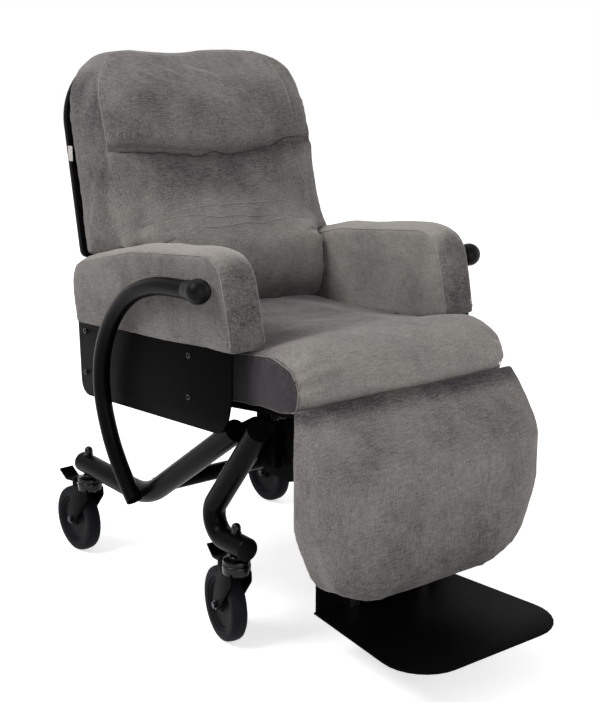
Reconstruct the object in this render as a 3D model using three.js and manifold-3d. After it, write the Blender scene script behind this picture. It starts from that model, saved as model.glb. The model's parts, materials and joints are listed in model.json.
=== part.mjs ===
// Patient recliner chair on a tubular base with four swivel casters.
// Millimetres, +Z up, the sitter faces -Y and the sitter's right side is -X.
import * as THREE from "three";
import { mergeVertices } from "three/addons/utils/BufferGeometryUtils.js";
import Module from "manifold-3d";

const wasm = await Module();
wasm.setup();

// ---------------------------------------------------------------- driving dimensions
const FOOTPRINT_SHIFT = 151.4; // brings the middle of the footprint to y = 0
const GAP = 0.4; // clearance left between pieces that touch

const FRAME_X = 267; // planes of the two side frames
const LEG_RADIUS = 22.5;
const LEG_WALL = 2.5;
const LEG_HEIGHT = 217; // centreline of the level stretches that carry the casters
const CASTER_Y = 292; // caster stems stand this far in front of and behind the base middle
const CROSSBAR_Y = 42;
const CROSSBAR_Z = 234;
const CROSSBAR_RADIUS = 17;

const GUSSET_INNER_X = 238.6; // plates that tie the legs together at the tilt pivot
const GUSSET_FRONT = -380;
const GUSSET_FOOT = 388;
const GUSSET_TOP = 470;

const HAND_RADIUS = 17.5;
const HAND_WALL = 2;
const KNOB_Z = 708;
const HAND_TUBE_END = -262;

const TILT_AXIS = { y: -335, z: 452 };
const SHAFT_RADIUS = 8;
const RUNNING = 0.8; // radial play of the pivots

const STEM_RADIUS = 6;
const STEM_HOLE_RADIUS = STEM_RADIUS + 0.6;
const AXLE_RADIUS = 4;
const PEDAL_PIN_RADIUS = 3;
const WHEEL_RADIUS = 75;
const WHEEL_HALF_WIDTH = 16;
const TRAIL = 55;
const CASTER_YAW = { front_right: -10, front_left: -3, rear_right: 3, rear_left: 0.5 }; // degrees

const BODY_PITCH = THREE.MathUtils.degToRad(4.3); // side panels and armrests lean back
const BODY_ORIGIN = { y: -340, z: 455 };
const PAN_PITCH = THREE.MathUtils.degToRad(7.1); // the seat pan leans back further
const PAN_ORIGIN = { y: -445, z: 494 };
const RAIL_OUTER_X = 238;
const RAIL_INNER_X = 225;
const RAIL_HEIGHT = 9;

const PANEL_INNER_X = 291;
const PANEL_THICKNESS = 4;
const PANEL_TOP = 146.6;
const ARM_INNER_X = 221;
const ARM_OUTER_X = 303.5;
const SEAT_HALF_WIDTH = 256;

const RECLINE_AXIS = { y: 175, z: 455 };
const SHELL_THICKNESS = 14;
const SHELL_HALF_WIDTH = 267;
const SHELL_NECK_HALF_WIDTH = 212;
const SHELL_CORNER = 150;
const SHELL_SHOULDER = 686; // lower edge of the shell's wide part
const BACK_LOWER_HALF_WIDTH = 219;
const BACK_UPPER_HALF_WIDTH = 264;
const BACK_TOP = 1121;
const BACK_FRONT_CORNER = 108; // upper corners of the back cushion's front panel
const BACK_ARM_GAP = 3; // height of the back cushion's shoulders over the armrests

const LEGREST_AXIS = { y: -462, z: 484 };
const LEGREST_SHAFT_RADIUS = 6;
const PAD_FRONT = -556;
const PAD_BACK = -483.1;
const BOARD_BACK = -474.7;
const GUIDE_X = 90; // footplate posts and their guides
const GUIDE_Y = -422;
const GUIDE_HALF = 15;
const POST_HALF = 11;
const PLATE_BOTTOM = 87;
const PLATE_THICKNESS = 4;
const PLATE_FRONT = -725;
const UPSTAND_FRONT = -406.7;

const TILT_STRUT = { x: 0, low: { y: 40, z: 267 }, high: { y: -120, z: 438 }, barrel: 150 };
const RECLINE_STRUT = { x: 70, low: { y: -90, z: 424 }, high: { y: 185, z: 395 }, barrel: 170 };
const PIN_RADIUS = 4;
const STRUT_BARREL_RADIUS = 11;
const STRUT_ROD_RADIUS = 5;
const STRUT_EYE_HALF = 7;
const EAR_INNER = 8.5; // the two ears that hold a strut's pin, from its centre plane
const EAR_OUTER = 13;
const EAR_HALF = 10;

// ---------------------------------------------------------------- materials
function finish(color, roughness, metalness) {
  return new THREE.MeshStandardMaterial({ color, roughness, metalness });
}

const blackTube = finish(0x17181a, 0.45, 0.6);
const blackPlate = finish(0x0e0f10, 0.6, 0.4);
const blackPlastic = finish(0x141516, 0.55, 0);
const tyreRubber = finish(0x26272a, 0.75, 0);
const brightSteel = finish(0xb8babd, 0.25, 1);
const upholstery = finish(0x77716d, 0.95, 0);
const plyBoard = finish(0x8d7350, 0.7, 0);

// ---------------------------------------------------------------- joining and cutting
function solidFrom(geometry) {
  const bare = geometry.index ? geometry.toNonIndexed() : geometry.clone();
  bare.deleteAttribute("normal");
  bare.deleteAttribute("uv");
  const merged = mergeVertices(bare, 1e-3);
  const triVerts = new Uint32Array(merged.index.array);
  return new wasm.Manifold(
    new wasm.Mesh({ numProp: 3, vertProperties: merged.attributes.position.array, triVerts }),
  );
}

function geometryFrom(solid) {
  const mesh = solid.getMesh();
  const geometry = new THREE.BufferGeometry();
  geometry.setAttribute("position", new THREE.BufferAttribute(mesh.vertProperties, 3));
  geometry.setIndex(new THREE.BufferAttribute(mesh.triVerts, 1));
  geometry.computeVertexNormals();
  return geometry;
}

function combine(added, removed = []) {
  const whole = added.map(solidFrom).reduce((sum, solid) => sum.add(solid));
  return geometryFrom(removed.map(solidFrom).reduce((rest, tool) => rest.subtract(tool), whole));
}

// ---------------------------------------------------------------- basic shapes in place
function block(x0, x1, y0, y1, z0, z1) {
  const geometry = new THREE.BoxGeometry(Math.abs(x1 - x0), Math.abs(y1 - y0), Math.abs(z1 - z0));
  return geometry.translate((x0 + x1) / 2, (y0 + y1) / 2, (z0 + z1) / 2);
}

function rodAlongX(radius, x0, x1, at, sides = 12) {
  const geometry = new THREE.CylinderGeometry(radius, radius, Math.abs(x1 - x0), sides);
  return geometry.rotateZ(Math.PI / 2).translate((x0 + x1) / 2, at.y, at.z);
}

// An eight-sided hole whose flats leave `play` round a shaft of this radius.
function shaftHole(radius, play, x0, x1, at) {
  return rodAlongX((radius + play) / Math.cos(Math.PI / 8), x0, x1, at, 8);
}

function rodAlongZ(radius, z0, z1, x = 0, y = 0, sides = 12) {
  const geometry = new THREE.CylinderGeometry(radius, radius, z1 - z0, sides);
  return geometry.rotateX(Math.PI / 2).translate(x, y, (z0 + z1) / 2);
}

// Corners are [a, b, radius]; a radius of 0 or none leaves the corner sharp.
function roundedRoute(route, corners, closed) {
  const count = corners.length;
  const point = (i) => new THREE.Vector2(...corners[(i + count) % count].slice(0, 2));
  corners.forEach(([a, b, radius = 0], i) => {
    const isEnd = !closed && (i === 0 || i === count - 1);
    const here = new THREE.Vector2(a, b);
    if (isEnd || radius === 0) {
      if (i === 0) route.moveTo(a, b);
      else route.lineTo(a, b);
      return;
    }
    const back = point(i - 1).sub(here).normalize();
    const on = point(i + 1).sub(here).normalize();
    const half = Math.acos(back.dot(on)) / 2;
    const start = here.clone().addScaledVector(back, radius / Math.tan(half));
    const middle = back.clone().add(on).normalize().multiplyScalar(radius / Math.sin(half)).add(here);
    const end = here.clone().addScaledVector(on, radius / Math.tan(half));
    const from = Math.atan2(start.y - middle.y, start.x - middle.x);
    const to = Math.atan2(end.y - middle.y, end.x - middle.x);
    if (i === 0) route.moveTo(start.x, start.y);
    else route.lineTo(start.x, start.y);
    route.absarc(middle.x, middle.y, radius, from, to, back.cross(on) > 0);
  });
  return route;
}

function outline(corners) {
  return roundedRoute(new THREE.Shape(), corners, true);
}

const ALONG_X = new THREE.Matrix4().makeBasis(
  new THREE.Vector3(0, 1, 0),
  new THREE.Vector3(0, 0, 1),
  new THREE.Vector3(1, 0, 0),
);
const ALONG_Y = new THREE.Matrix4().makeBasis(
  new THREE.Vector3(1, 0, 0),
  new THREE.Vector3(0, 0, 1),
  new THREE.Vector3(0, -1, 0),
);

// Extrudes an outline drawn in (y, z) between two x planes.
function slabAlongX(corners, x0, x1, curveSegments = 2) {
  const depth = Math.abs(x1 - x0);
  const geometry = new THREE.ExtrudeGeometry(outline(corners), { depth, bevelEnabled: false, curveSegments });
  return geometry.applyMatrix4(ALONG_X).translate(Math.min(x0, x1), 0, 0);
}

// Extrudes an outline drawn in (x, z) between two y planes.
function slabAlongY(corners, y0, y1, curveSegments = 3) {
  const depth = Math.abs(y1 - y0);
  const geometry = new THREE.ExtrudeGeometry(outline(corners), { depth, bevelEnabled: false, curveSegments });
  return geometry.applyMatrix4(ALONG_Y).translate(0, Math.max(y0, y1), 0);
}

// Extrudes an outline drawn in (x, y) between two heights.
function slabAlongZ(corners, z0, z1, curveSegments = 4) {
  const depth = z1 - z0;
  const geometry = new THREE.ExtrudeGeometry(outline(corners), { depth, bevelEnabled: false, curveSegments });
  return geometry.translate(0, 0, z0);
}

// A profile of [radius, x] pairs turned about the X axis through the origin.
function turnedAboutX(profile, segments) {
  const points = profile.map(([radius, x]) => new THREE.Vector2(radius, x));
  return new THREE.LatheGeometry(points, segments).rotateZ(-Math.PI / 2);
}

// A route drawn in (y, z), held in the plane of one x.
class PlaneRoute extends THREE.Curve {
  constructor(corners, x) {
    super();
    this.flat = roundedRoute(new THREE.Path(), corners, false);
    this.x = x;
  }

  getPoint(t, target = new THREE.Vector3()) {
    const p = this.flat.getPoint(t);
    return target.set(this.x, p.x, p.y);
  }
}

function hollowTube(route, radius, wall, steps) {
  const section = new THREE.Shape().absarc(0, 0, radius, 0, 2 * Math.PI);
  section.holes.push(new THREE.Path().absarc(0, 0, radius - wall, 0, 2 * Math.PI, true));
  return new THREE.ExtrudeGeometry(section, {
    steps,
    extrudePath: route,
    bevelEnabled: false,
    curveSegments: 6,
  });
}

// ---------------------------------------------------------------- assembly bookkeeping
const chair = new THREE.Group();
chair.position.y = FOOTPRINT_SHIFT;

function place(name, geometry, material, holder = chair) {
  const mesh = new THREE.Mesh(geometry, material);
  mesh.name = name;
  holder.add(mesh);
  return mesh;
}

const SIDES = { right: -1, left: 1 };

function turnedGroup(origin, pitch) {
  const group = new THREE.Group();
  group.position.set(0, origin.y, origin.z);
  group.rotation.x = -pitch;
  chair.add(group);
  return group;
}

// ---------------------------------------------------------------- base frame
function rearLeg(x) {
  const corners = [
    [317, LEG_HEIGHT],
    [36, LEG_HEIGHT, 200],
    [-296.5, 442],
  ];
  const tube = hollowTube(new PlaneRoute(corners, x), LEG_RADIUS, LEG_WALL, 14);
  return combine([tube], [rodAlongZ(STEM_HOLE_RADIUS, 180, 250, x, CASTER_Y)]);
}

function frontLeg(x) {
  const corners = [
    [-327, LEG_HEIGHT],
    [-173.6, LEG_HEIGHT, 40],
    [-368, 456.4],
  ];
  const tube = hollowTube(new PlaneRoute(corners, x), LEG_RADIUS, LEG_WALL, 22);
  return combine([tube], [rodAlongZ(STEM_HOLE_RADIUS, 180, 250, x, -CASTER_Y)]);
}

function rearCrossbar() {
  const reach = FRAME_X - LEG_RADIUS - GAP;
  const bar = rodAlongX(CROSSBAR_RADIUS, -reach, reach, { y: CROSSBAR_Y, z: CROSSBAR_Z }, 14);
  return combine([bar, ...strutEar(TILT_STRUT, TILT_STRUT.low, CROSSBAR_Z)]);
}

// Two ears and a pin that hold one end of a strut; they run from the pin to the height `root`.
function strutEar(strut, at, root) {
  const low = Math.min(at.z - EAR_HALF, root);
  const high = Math.max(at.z + EAR_HALF, root);
  const ears = Object.values(SIDES).map((side) => {
    const inner = strut.x + side * EAR_INNER;
    return block(inner, strut.x + side * EAR_OUTER, at.y - EAR_HALF, at.y + EAR_HALF, low, high);
  });
  return [...ears, rodAlongX(PIN_RADIUS, strut.x - EAR_OUTER + 1, strut.x + EAR_OUTER - 1, at)];
}

function handTube(side) {
  const route = [
    [-308, 18, 222],
    [-310, 60, 270],
    [-314, 98, 338],
    [-319, 119, 430],
    [-324, 104, 512],
    [-328, 55, 592],
    [-332, -30, 660],
    [-333.5, -130, 695],
    [-334, HAND_TUBE_END, KNOB_Z - 1],
  ];
  const curve = new THREE.CatmullRomCurve3(route.map(([x, y, z]) => new THREE.Vector3(-side * x, y, z)));
  return hollowTube(curve, HAND_RADIUS, HAND_WALL, 18);
}

function handKnob(side) {
  const profile = [
    [0, -24],
    [13, -21],
    [21, -12],
    [24, 0],
    [21, 11],
    [18, 16],
    [0, 16],
  ];
  const knob = turnedAboutX(profile, 12).rotateZ(Math.PI / 2);
  return knob.translate(side * 334, HAND_TUBE_END - 18, KNOB_Z);
}

function legGusset(side) {
  const corners = [
    [GUSSET_FRONT, GUSSET_FOOT],
    [-330, 392],
    [-262, 408, 10],
    [-262, 440, 10],
    [-318, 470, 8],
    [GUSSET_FRONT, GUSSET_TOP],
  ];
  const outer = side * (FRAME_X - LEG_RADIUS - GAP);
  const plate = slabAlongX(corners, side * GUSSET_INNER_X, outer);
  const flange = block(side * 228, outer, GUSSET_FRONT - 4, GUSSET_FRONT + 0.5, GUSSET_FOOT, GUSSET_TOP);
  return combine([plate, flange], [shaftHole(SHAFT_RADIUS, RUNNING, side * 230, side * 250, TILT_AXIS)]);
}

function frontCrossmember() {
  const front = -402;
  const rear = -326;
  const floor = 362;
  const channel = [
    block(-222, 222, front, rear, floor, floor + 4),
    block(-222, 222, front, front + 4, floor, 440),
    block(-222, 222, rear - 4, rear, floor, 440),
  ];
  const cheek = [
    [-425, 366],
    [-318, 362],
    [-318, 462],
    [-425, 474],
  ];
  const stub = { y: -352, z: 416 };
  for (const side of Object.values(SIDES)) {
    channel.push(slabAlongX(cheek, side * 218, side * 222));
    channel.push(rodAlongX(13, side * 200, side * (GUSSET_INNER_X - GAP), stub, 14));
  }
  return combine(channel, [shaftHole(SHAFT_RADIUS, RUNNING, -250, 250, TILT_AXIS)]);
}

function buildBase() {
  for (const [name, side] of Object.entries(SIDES)) {
    place("rear_leg_tube_" + name, rearLeg(side * FRAME_X), blackTube);
    place("front_leg_tube_" + name, frontLeg(side * FRAME_X), blackTube);
    place("hand_tube_" + name, handTube(side), blackTube);
    place("hand_knob_" + name, handKnob(side), blackPlastic);
    place("leg_gusset_" + name, legGusset(side), blackPlate);
  }
  place("rear_crossbar", rearCrossbar(), blackTube);
  place("front_crossmember", frontCrossmember(), blackPlate);
  const reach = FRAME_X - LEG_RADIUS - GAP;
  place("tilt_pivot_shaft", rodAlongX(SHAFT_RADIUS, -reach, reach, TILT_AXIS), brightSteel);
}

// ---------------------------------------------------------------- casters
function stemBolt() {
  const shank = rodAlongZ(STEM_RADIUS, LEG_HEIGHT - LEG_RADIUS + GAP, LEG_HEIGHT + LEG_RADIUS + 1);
  const dome = new THREE.LatheGeometry(
    [
      new THREE.Vector2(0, 0),
      new THREE.Vector2(9.5, 0),
      new THREE.Vector2(9.5, 11),
      new THREE.Vector2(6.5, 17),
      new THREE.Vector2(0, 20),
    ],
    12,
  );
  dome.rotateX(Math.PI / 2).translate(0, 0, LEG_HEIGHT + LEG_RADIUS + GAP);
  return combine([shank, dome]);
}

const PEDAL_AXIS = { y: 32, z: 175 };

function casterFork() {
  const underTube = LEG_HEIGHT - LEG_RADIUS - GAP;
  const cheek = [
    [-23, 170],
    [-23, 150, 8],
    [TRAIL - 12, 66],
    [TRAIL, 62, 8],
    [TRAIL + 12, 70, 8],
    [TRAIL + 12, 86, 10],
    [41, 152],
    [41, 182, 5],
    [25, 182, 5],
    [22, 170],
  ];
  const parts = [
    rodAlongZ(14, 183, underTube),
    rodAlongZ(22, 169, 184, 0, 0, 14),
    rodAlongZ(27, 157, 170, 0, 0, 14),
    block(-22, 22, -20, 38, 153.5, 158),
  ];
  for (const side of Object.values(SIDES)) parts.push(slabAlongX(cheek, side * 19, side * 22, 1));
  const holes = [
    shaftHole(AXLE_RADIUS, GAP, -30, 30, { y: TRAIL, z: WHEEL_RADIUS }),
    shaftHole(PEDAL_PIN_RADIUS, GAP, -30, 30, PEDAL_AXIS),
  ];
  return combine(parts, holes);
}

function casterAxle() {
  const at = { y: TRAIL, z: WHEEL_RADIUS };
  return combine([
    rodAlongX(AXLE_RADIUS, -24, 24, at, 10),
    rodAlongX(7.5, -27, -22 - GAP, at, 6),
    rodAlongX(7.5, 22 + GAP, 27, at, 6),
  ]);
}

function casterWheel() {
  const profile = [
    [4.4, -17],
    [15, -17],
    [19, -8],
    [51, -8],
    [54, -15],
    [69, -WHEEL_HALF_WIDTH],
    [WHEEL_RADIUS, -7],
    [WHEEL_RADIUS, 7],
    [69, WHEEL_HALF_WIDTH],
    [54, 15],
    [51, 8],
    [19, 8],
    [15, 17],
    [4.4, 17],
    [4.4, -17],
  ];
  return turnedAboutX(profile, 24).translate(0, TRAIL, WHEEL_RADIUS);
}

function brakePedal() {
  const lever = [
    [27, 170.5],
    [78, 164],
    [106, 181],
    [104, 185],
    [77, 169],
    [36, 180, 4],
    [28, 180, 4],
  ];
  return combine([
    slabAlongX(lever, -17, 17, 2),
    rodAlongX(PEDAL_PIN_RADIUS, -22, 22, PEDAL_AXIS, 8),
  ]);
}

function buildCasters() {
  const corners = {
    front_right: [SIDES.right, -1],
    front_left: [SIDES.left, -1],
    rear_right: [SIDES.right, 1],
    rear_left: [SIDES.left, 1],
  };
  for (const [name, [side, end]] of Object.entries(corners)) {
    const caster = new THREE.Group();
    caster.position.set(side * FRAME_X, end * CASTER_Y, 0);
    caster.rotation.z = THREE.MathUtils.degToRad(CASTER_YAW[name]);
    chair.add(caster);
    place("caster_bolt_" + name, stemBolt(), blackPlate, caster);
    place("caster_fork_" + name, casterFork(), blackPlate, caster);
    place("caster_axle_" + name, casterAxle(), brightSteel, caster);
    place("caster_wheel_" + name, casterWheel(), tyreRubber, caster);
    place("brake_pedal_" + name, brakePedal(), blackPlate, caster);
  }
}

// ---------------------------------------------------------------- seat unit
const panMatrix = new THREE.Matrix4()
  .makeTranslation(0, PAN_ORIGIN.y, PAN_ORIGIN.z)
  .multiply(new THREE.Matrix4().makeRotationX(-PAN_PITCH));

// A block laid out along the sloping pan: `along` runs rearwards, `up` is square to the pan.
function panBlock(x0, x1, along0, along1, up0, up1) {
  return block(x0, x1, along0, along1, up0, up1).applyMatrix4(panMatrix);
}

function seatFrame() {
  const parts = [
    panBlock(-RAIL_INNER_X - 1, RAIL_INNER_X + 1, 5, 600, 3, RAIL_HEIGHT),
    panBlock(-RAIL_INNER_X - 1, RAIL_INNER_X + 1, 390, 420, -9, 4),
    ...strutEar(TILT_STRUT, TILT_STRUT.high, 457),
    ...strutEar(RECLINE_STRUT, RECLINE_STRUT.low, 453),
  ];
  const holes = [
    shaftHole(SHAFT_RADIUS, RUNNING, -250, 250, TILT_AXIS),
    shaftHole(SHAFT_RADIUS, RUNNING, -250, 250, RECLINE_AXIS),
    shaftHole(LEGREST_SHAFT_RADIUS, RUNNING, -250, 250, LEGREST_AXIS),
  ];
  for (const side of Object.values(SIDES)) {
    parts.push(panBlock(side * RAIL_INNER_X, side * RAIL_OUTER_X, 0, 692, 0, RAIL_HEIGHT));
    for (const [along, height] of [[265, 112], [675, 140]]) {
      const reach = side * (PANEL_INNER_X - GAP);
      parts.push(panBlock(side * (RAIL_OUTER_X - 1), reach, along - 15, along + 15, 0, RAIL_HEIGHT));
      parts.push(panBlock(side * 284, reach, along - 15, along + 15, 0, height));
    }
    parts.push(rodAlongX(17, side * 229, side * 236, TILT_AXIS));
    parts.push(block(side * 229, side * 236, TILT_AXIS.y - 17, TILT_AXIS.y + 17, 452, 484));
    parts.push(rodAlongX(16, side * 226, side * 234, RECLINE_AXIS));
    parts.push(block(side * 226, side * 234, 159, 191, 418, 455));
    parts.push(rodAlongX(11, side * 195, side * 202, LEGREST_AXIS, 14));
    parts.push(block(side * 195, side * 202, -468, -430, 484, 499));
  }
  return combine(parts, holes);
}

function seatCushion() {
  const corners = [
    [-461, 508.5, 6],
    [-470, 548, 25],
    [-448, 584, 30],
    [-385, 600, 50],
    [-330, 594],
    [-190, 576],
    [60, 568],
    [146, 561, 15],
    [146, 430.4],
  ];
  return slabAlongX(corners, -SEAT_HALF_WIDTH, SEAT_HALF_WIDTH, 4);
}

function sidePanel(side) {
  const corners = [
    [599, -15, 30],
    [592, PANEL_TOP],
    [4, PANEL_TOP],
    [12, 60],
    [40, -15, 55],
  ];
  return slabAlongX(corners, side * PANEL_INNER_X, side * (PANEL_INNER_X + PANEL_THICKNESS));
}

function armPad(side) {
  const corners = [
    [592, PANEL_TOP + GAP],
    [592, 240],
    [570, 275, 45],
    [330, 312, 250],
    [22, 319, 62],
    [-6, PANEL_TOP + GAP],
  ];
  return slabAlongX(corners, side * ARM_INNER_X, side * ARM_OUTER_X, 6);
}

function buildSeat() {
  const body = turnedGroup(BODY_ORIGIN, BODY_PITCH);
  place("seat_frame", seatFrame(), blackPlate);
  place("seat_cushion", seatCushion(), upholstery);
  for (const [name, side] of Object.entries(SIDES)) {
    place("side_panel_" + name, sidePanel(side), blackPlate, body);
    place("armrest_" + name, armPad(side), upholstery, body);
  }
  place("recline_pivot_shaft", rodAlongX(SHAFT_RADIUS, -236, 236, RECLINE_AXIS), brightSteel);
  const legShaft = rodAlongX(LEGREST_SHAFT_RADIUS, -203, 203, LEGREST_AXIS, 14);
  place("legrest_pivot_shaft", legShaft, brightSteel);
}

// ---------------------------------------------------------------- backrest
const SHELL_TOP = { y: 373, z: 1112 }; // rear surface, upper end
const SHELL_BEND = { y: 295, z: 702 };
const SHELL_FOOT = { y: 203, z: 430 };

function backShell() {
  const band = [
    [SHELL_FOOT.y, SHELL_FOOT.z],
    [SHELL_BEND.y, SHELL_BEND.z, 150],
    [SHELL_TOP.y, SHELL_TOP.z],
    [SHELL_TOP.y - SHELL_THICKNESS, SHELL_TOP.z],
    [SHELL_BEND.y - SHELL_THICKNESS - 0.6, SHELL_BEND.z, 136],
    [SHELL_FOOT.y - SHELL_THICKNESS, SHELL_FOOT.z],
  ];
  const frontView = [
    [-SHELL_NECK_HALF_WIDTH, 420],
    [SHELL_NECK_HALF_WIDTH, 420],
    [SHELL_NECK_HALF_WIDTH, SHELL_SHOULDER, 14],
    [SHELL_HALF_WIDTH, SHELL_SHOULDER, 14],
    [SHELL_HALF_WIDTH, SHELL_TOP.z, SHELL_CORNER],
    [-SHELL_HALF_WIDTH, SHELL_TOP.z, SHELL_CORNER],
    [-SHELL_HALF_WIDTH, SHELL_SHOULDER, 14],
    [-SHELL_NECK_HALF_WIDTH, SHELL_SHOULDER, 14],
  ];
  const sheet = solidFrom(slabAlongX(band, -SHELL_HALF_WIDTH, SHELL_HALF_WIDTH));
  const face = solidFrom(slabAlongY(frontView, 150, 400, 8));
  const ears = strutEar(RECLINE_STRUT, RECLINE_STRUT.high, 440).map(solidFrom);
  return geometryFrom(ears.reduce((sum, ear) => sum.add(ear), sheet.intersect(face)));
}

// Distance back to the face of the cushion that rests against the shell.
function cushionRear(z) {
  const far = z > SHELL_BEND.z ? SHELL_TOP : SHELL_FOOT;
  const share = (z - SHELL_BEND.z) / (far.z - SHELL_BEND.z);
  return SHELL_BEND.y + share * (far.y - SHELL_BEND.y) - SHELL_THICKNESS - 4;
}

function backCushion() {
  const upper = [
    [cushionRear(690), 690],
    [cushionRear(1098), 1098, 12],
    [342, BACK_TOP, 16],
    [262, BACK_TOP, 45],
    [222, 1088, 60],
    [184, 1000, 200],
    [164, 925, 60],
    [100, 721.5 + BACK_ARM_GAP],
    [216, 695 + BACK_ARM_GAP],
  ];
  const lower = [
    [cushionRear(577), 577],
    [cushionRear(SHELL_BEND.z), SHELL_BEND.z],
    [cushionRear(760), 760],
    [100, 760],
    [58, 720, 40],
    [54, 640, 40],
    [74, 575, 20],
  ];
  const front = solidFrom(slabAlongY(backOutline(BACK_FRONT_CORNER), 40, 230, 6));
  const rear = solidFrom(slabAlongY(backOutline(SHELL_CORNER), 345, 400, 6));
  const head = solidFrom(slabAlongX(upper, -BACK_UPPER_HALF_WIDTH, BACK_UPPER_HALF_WIDTH, 4));
  const body = solidFrom(slabAlongX(lower, -BACK_LOWER_HALF_WIDTH, BACK_LOWER_HALF_WIDTH, 4));
  return geometryFrom(head.intersect(wasm.Manifold.hull([front, rear])).add(body));
}

// The front view of the back cushion's wide part, for one size of upper corner.
function backOutline(corner) {
  return [
    [-BACK_UPPER_HALF_WIDTH, 680],
    [BACK_UPPER_HALF_WIDTH, 680],
    [BACK_UPPER_HALF_WIDTH, BACK_TOP + 4, corner],
    [-BACK_UPPER_HALF_WIDTH, BACK_TOP + 4, corner],
  ];
}

function backHingePlate(side) {
  const corners = [
    [RECLINE_AXIS.y - 15, 441, 12],
    [202, 441, 4],
    [240, 548, 6],
    [216, 553, 6],
    [RECLINE_AXIS.y - 15, 470, 12],
  ];
  const inner = side * (SHELL_NECK_HALF_WIDTH + GAP);
  const plate = slabAlongX(corners, inner, side * 220);
  return combine([plate], [shaftHole(SHAFT_RADIUS, RUNNING, side * 200, side * 230, RECLINE_AXIS)]);
}

function buildBack() {
  place("back_shell", backShell(), blackPlate);
  place("back_cushion", backCushion(), upholstery);
  for (const [name, side] of Object.entries(SIDES)) {
    place("back_hinge_plate_" + name, backHingePlate(side), blackPlate);
  }
}

// ---------------------------------------------------------------- legrest and footplate
function legrestFrame() {
  const parts = [
    block(-184, 184, BOARD_BACK + GAP, -435.5, 426, 446),
    block(-120, 120, BOARD_BACK + GAP, -435.5, 230, 250),
  ];
  const holes = [shaftHole(LEGREST_SHAFT_RADIUS, RUNNING, -230, 230, LEGREST_AXIS)];
  for (const side of Object.values(SIDES)) {
    const middle = side * GUIDE_X;
    const tube = [GUIDE_Y - GUIDE_HALF, GUIDE_Y + GUIDE_HALF];
    parts.push(rodAlongX(12, side * 168, side * 184, LEGREST_AXIS));
    parts.push(block(side * 172, side * 180, BOARD_BACK + GAP, -450, 430, 484));
    parts.push(block(middle - GUIDE_HALF, middle + GUIDE_HALF, ...tube, 190, 446));
    const bore = POST_HALF + 1;
    holes.push(block(middle - bore, middle + bore, GUIDE_Y - bore, GUIDE_Y + bore, 180, 460));
  }
  return combine(parts, holes);
}

function legrestBoard() {
  const corners = [
    [-240, 476, 30],
    [-240, 190, 60],
    [240, 190, 60],
    [240, 476, 30],
  ];
  return slabAlongY(corners, PAD_BACK + GAP, BOARD_BACK);
}

function legrestPad() {
  const corners = [
    [-262, 504, 40],
    [-283, 430, 90],
    [-283, 300, 90],
    [-238, 188, 80],
    [-155, 150, 90],
    [155, 150, 90],
    [238, 188, 80],
    [283, 300, 90],
    [283, 430, 90],
    [262, 504, 40],
  ];
  return slabAlongY(corners, PAD_FRONT, PAD_BACK, 5);
}

function footplate() {
  const top = PLATE_BOTTOM + PLATE_THICKNESS;
  const tread = [
    [-168, UPSTAND_FRONT + PLATE_THICKNESS],
    [-203, PLATE_FRONT, 85],
    [203, PLATE_FRONT, 85],
    [168, UPSTAND_FRONT + PLATE_THICKNESS],
  ];
  return combine([
    slabAlongZ(tread, PLATE_BOTTOM, top),
    block(-164, 164, UPSTAND_FRONT, UPSTAND_FRONT + PLATE_THICKNESS, PLATE_BOTTOM, 180),
  ]);
}

function footplatePost(side) {
  const middle = side * GUIDE_X;
  const foot = PLATE_BOTTOM + PLATE_THICKNESS + GAP;
  return combine([
    block(middle - POST_HALF, middle + POST_HALF, GUIDE_Y - POST_HALF, GUIDE_Y + POST_HALF, foot, 400),
    block(middle - POST_HALF, middle + POST_HALF, GUIDE_Y, UPSTAND_FRONT - GAP, foot, 172),
  ]);
}

function clampKnob(side) {
  const start = side * (GUIDE_X + GUIDE_HALF + GAP);
  const at = { y: GUIDE_Y, z: 214 };
  return combine([
    rodAlongX(5, start, start + side * 12, at),
    rodAlongX(13, start + side * 10, start + side * 24, at, 10),
  ]);
}

function buildLegrest() {
  place("legrest_frame", legrestFrame(), blackPlate);
  place("legrest_board", legrestBoard(), plyBoard);
  place("legrest_pad", legrestPad(), upholstery);
  place("footplate", footplate(), blackPlate);
  for (const [name, side] of Object.entries(SIDES)) {
    place("footplate_post_" + name, footplatePost(side), brightSteel);
    place("footplate_clamp_knob_" + name, clampKnob(side), blackPlastic);
  }
}

// ---------------------------------------------------------------- gas struts
// A strut is drawn upright from its lower pin at the origin and then turned onto its line.
function strutPieces(strut) {
  const reach = new THREE.Vector3(0, strut.high.y - strut.low.y, strut.high.z - strut.low.z);
  const length = reach.length();
  const eyeHole = { y: 0, z: 0 };
  const farEye = { y: 0, z: length };
  const barrel = combine(
    [
      rodAlongZ(STRUT_BARREL_RADIUS, 18, strut.barrel),
      rodAlongZ(6, 6, 19, 0, 0, 8),
      rodAlongX(9, -STRUT_EYE_HALF, STRUT_EYE_HALF, eyeHole),
    ],
    [rodAlongZ(STRUT_ROD_RADIUS + 0.6, 60, strut.barrel + 5), shaftHole(PIN_RADIUS, RUNNING, -9, 9, eyeHole)],
  );
  const rod = combine(
    [rodAlongZ(STRUT_ROD_RADIUS, strut.barrel - 40, length - 8), rodAlongX(11, -STRUT_EYE_HALF, STRUT_EYE_HALF, farEye)],
    [rodAlongX(PIN_RADIUS + 3, -9, 9, farEye)],
  );
  const turn = new THREE.Quaternion().setFromUnitVectors(new THREE.Vector3(0, 0, 1), reach.normalize());
  return [barrel, rod].map((piece) =>
    piece.applyQuaternion(turn).translate(strut.x, strut.low.y, strut.low.z),
  );
}

function buildStruts() {
  for (const [name, strut] of Object.entries({ tilt: TILT_STRUT, recline: RECLINE_STRUT })) {
    const [barrel, rod] = strutPieces(strut);
    place(name + "_strut_cylinder", barrel, blackTube);
    place(name + "_strut_rod", rod, brightSteel);
  }
}

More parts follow.
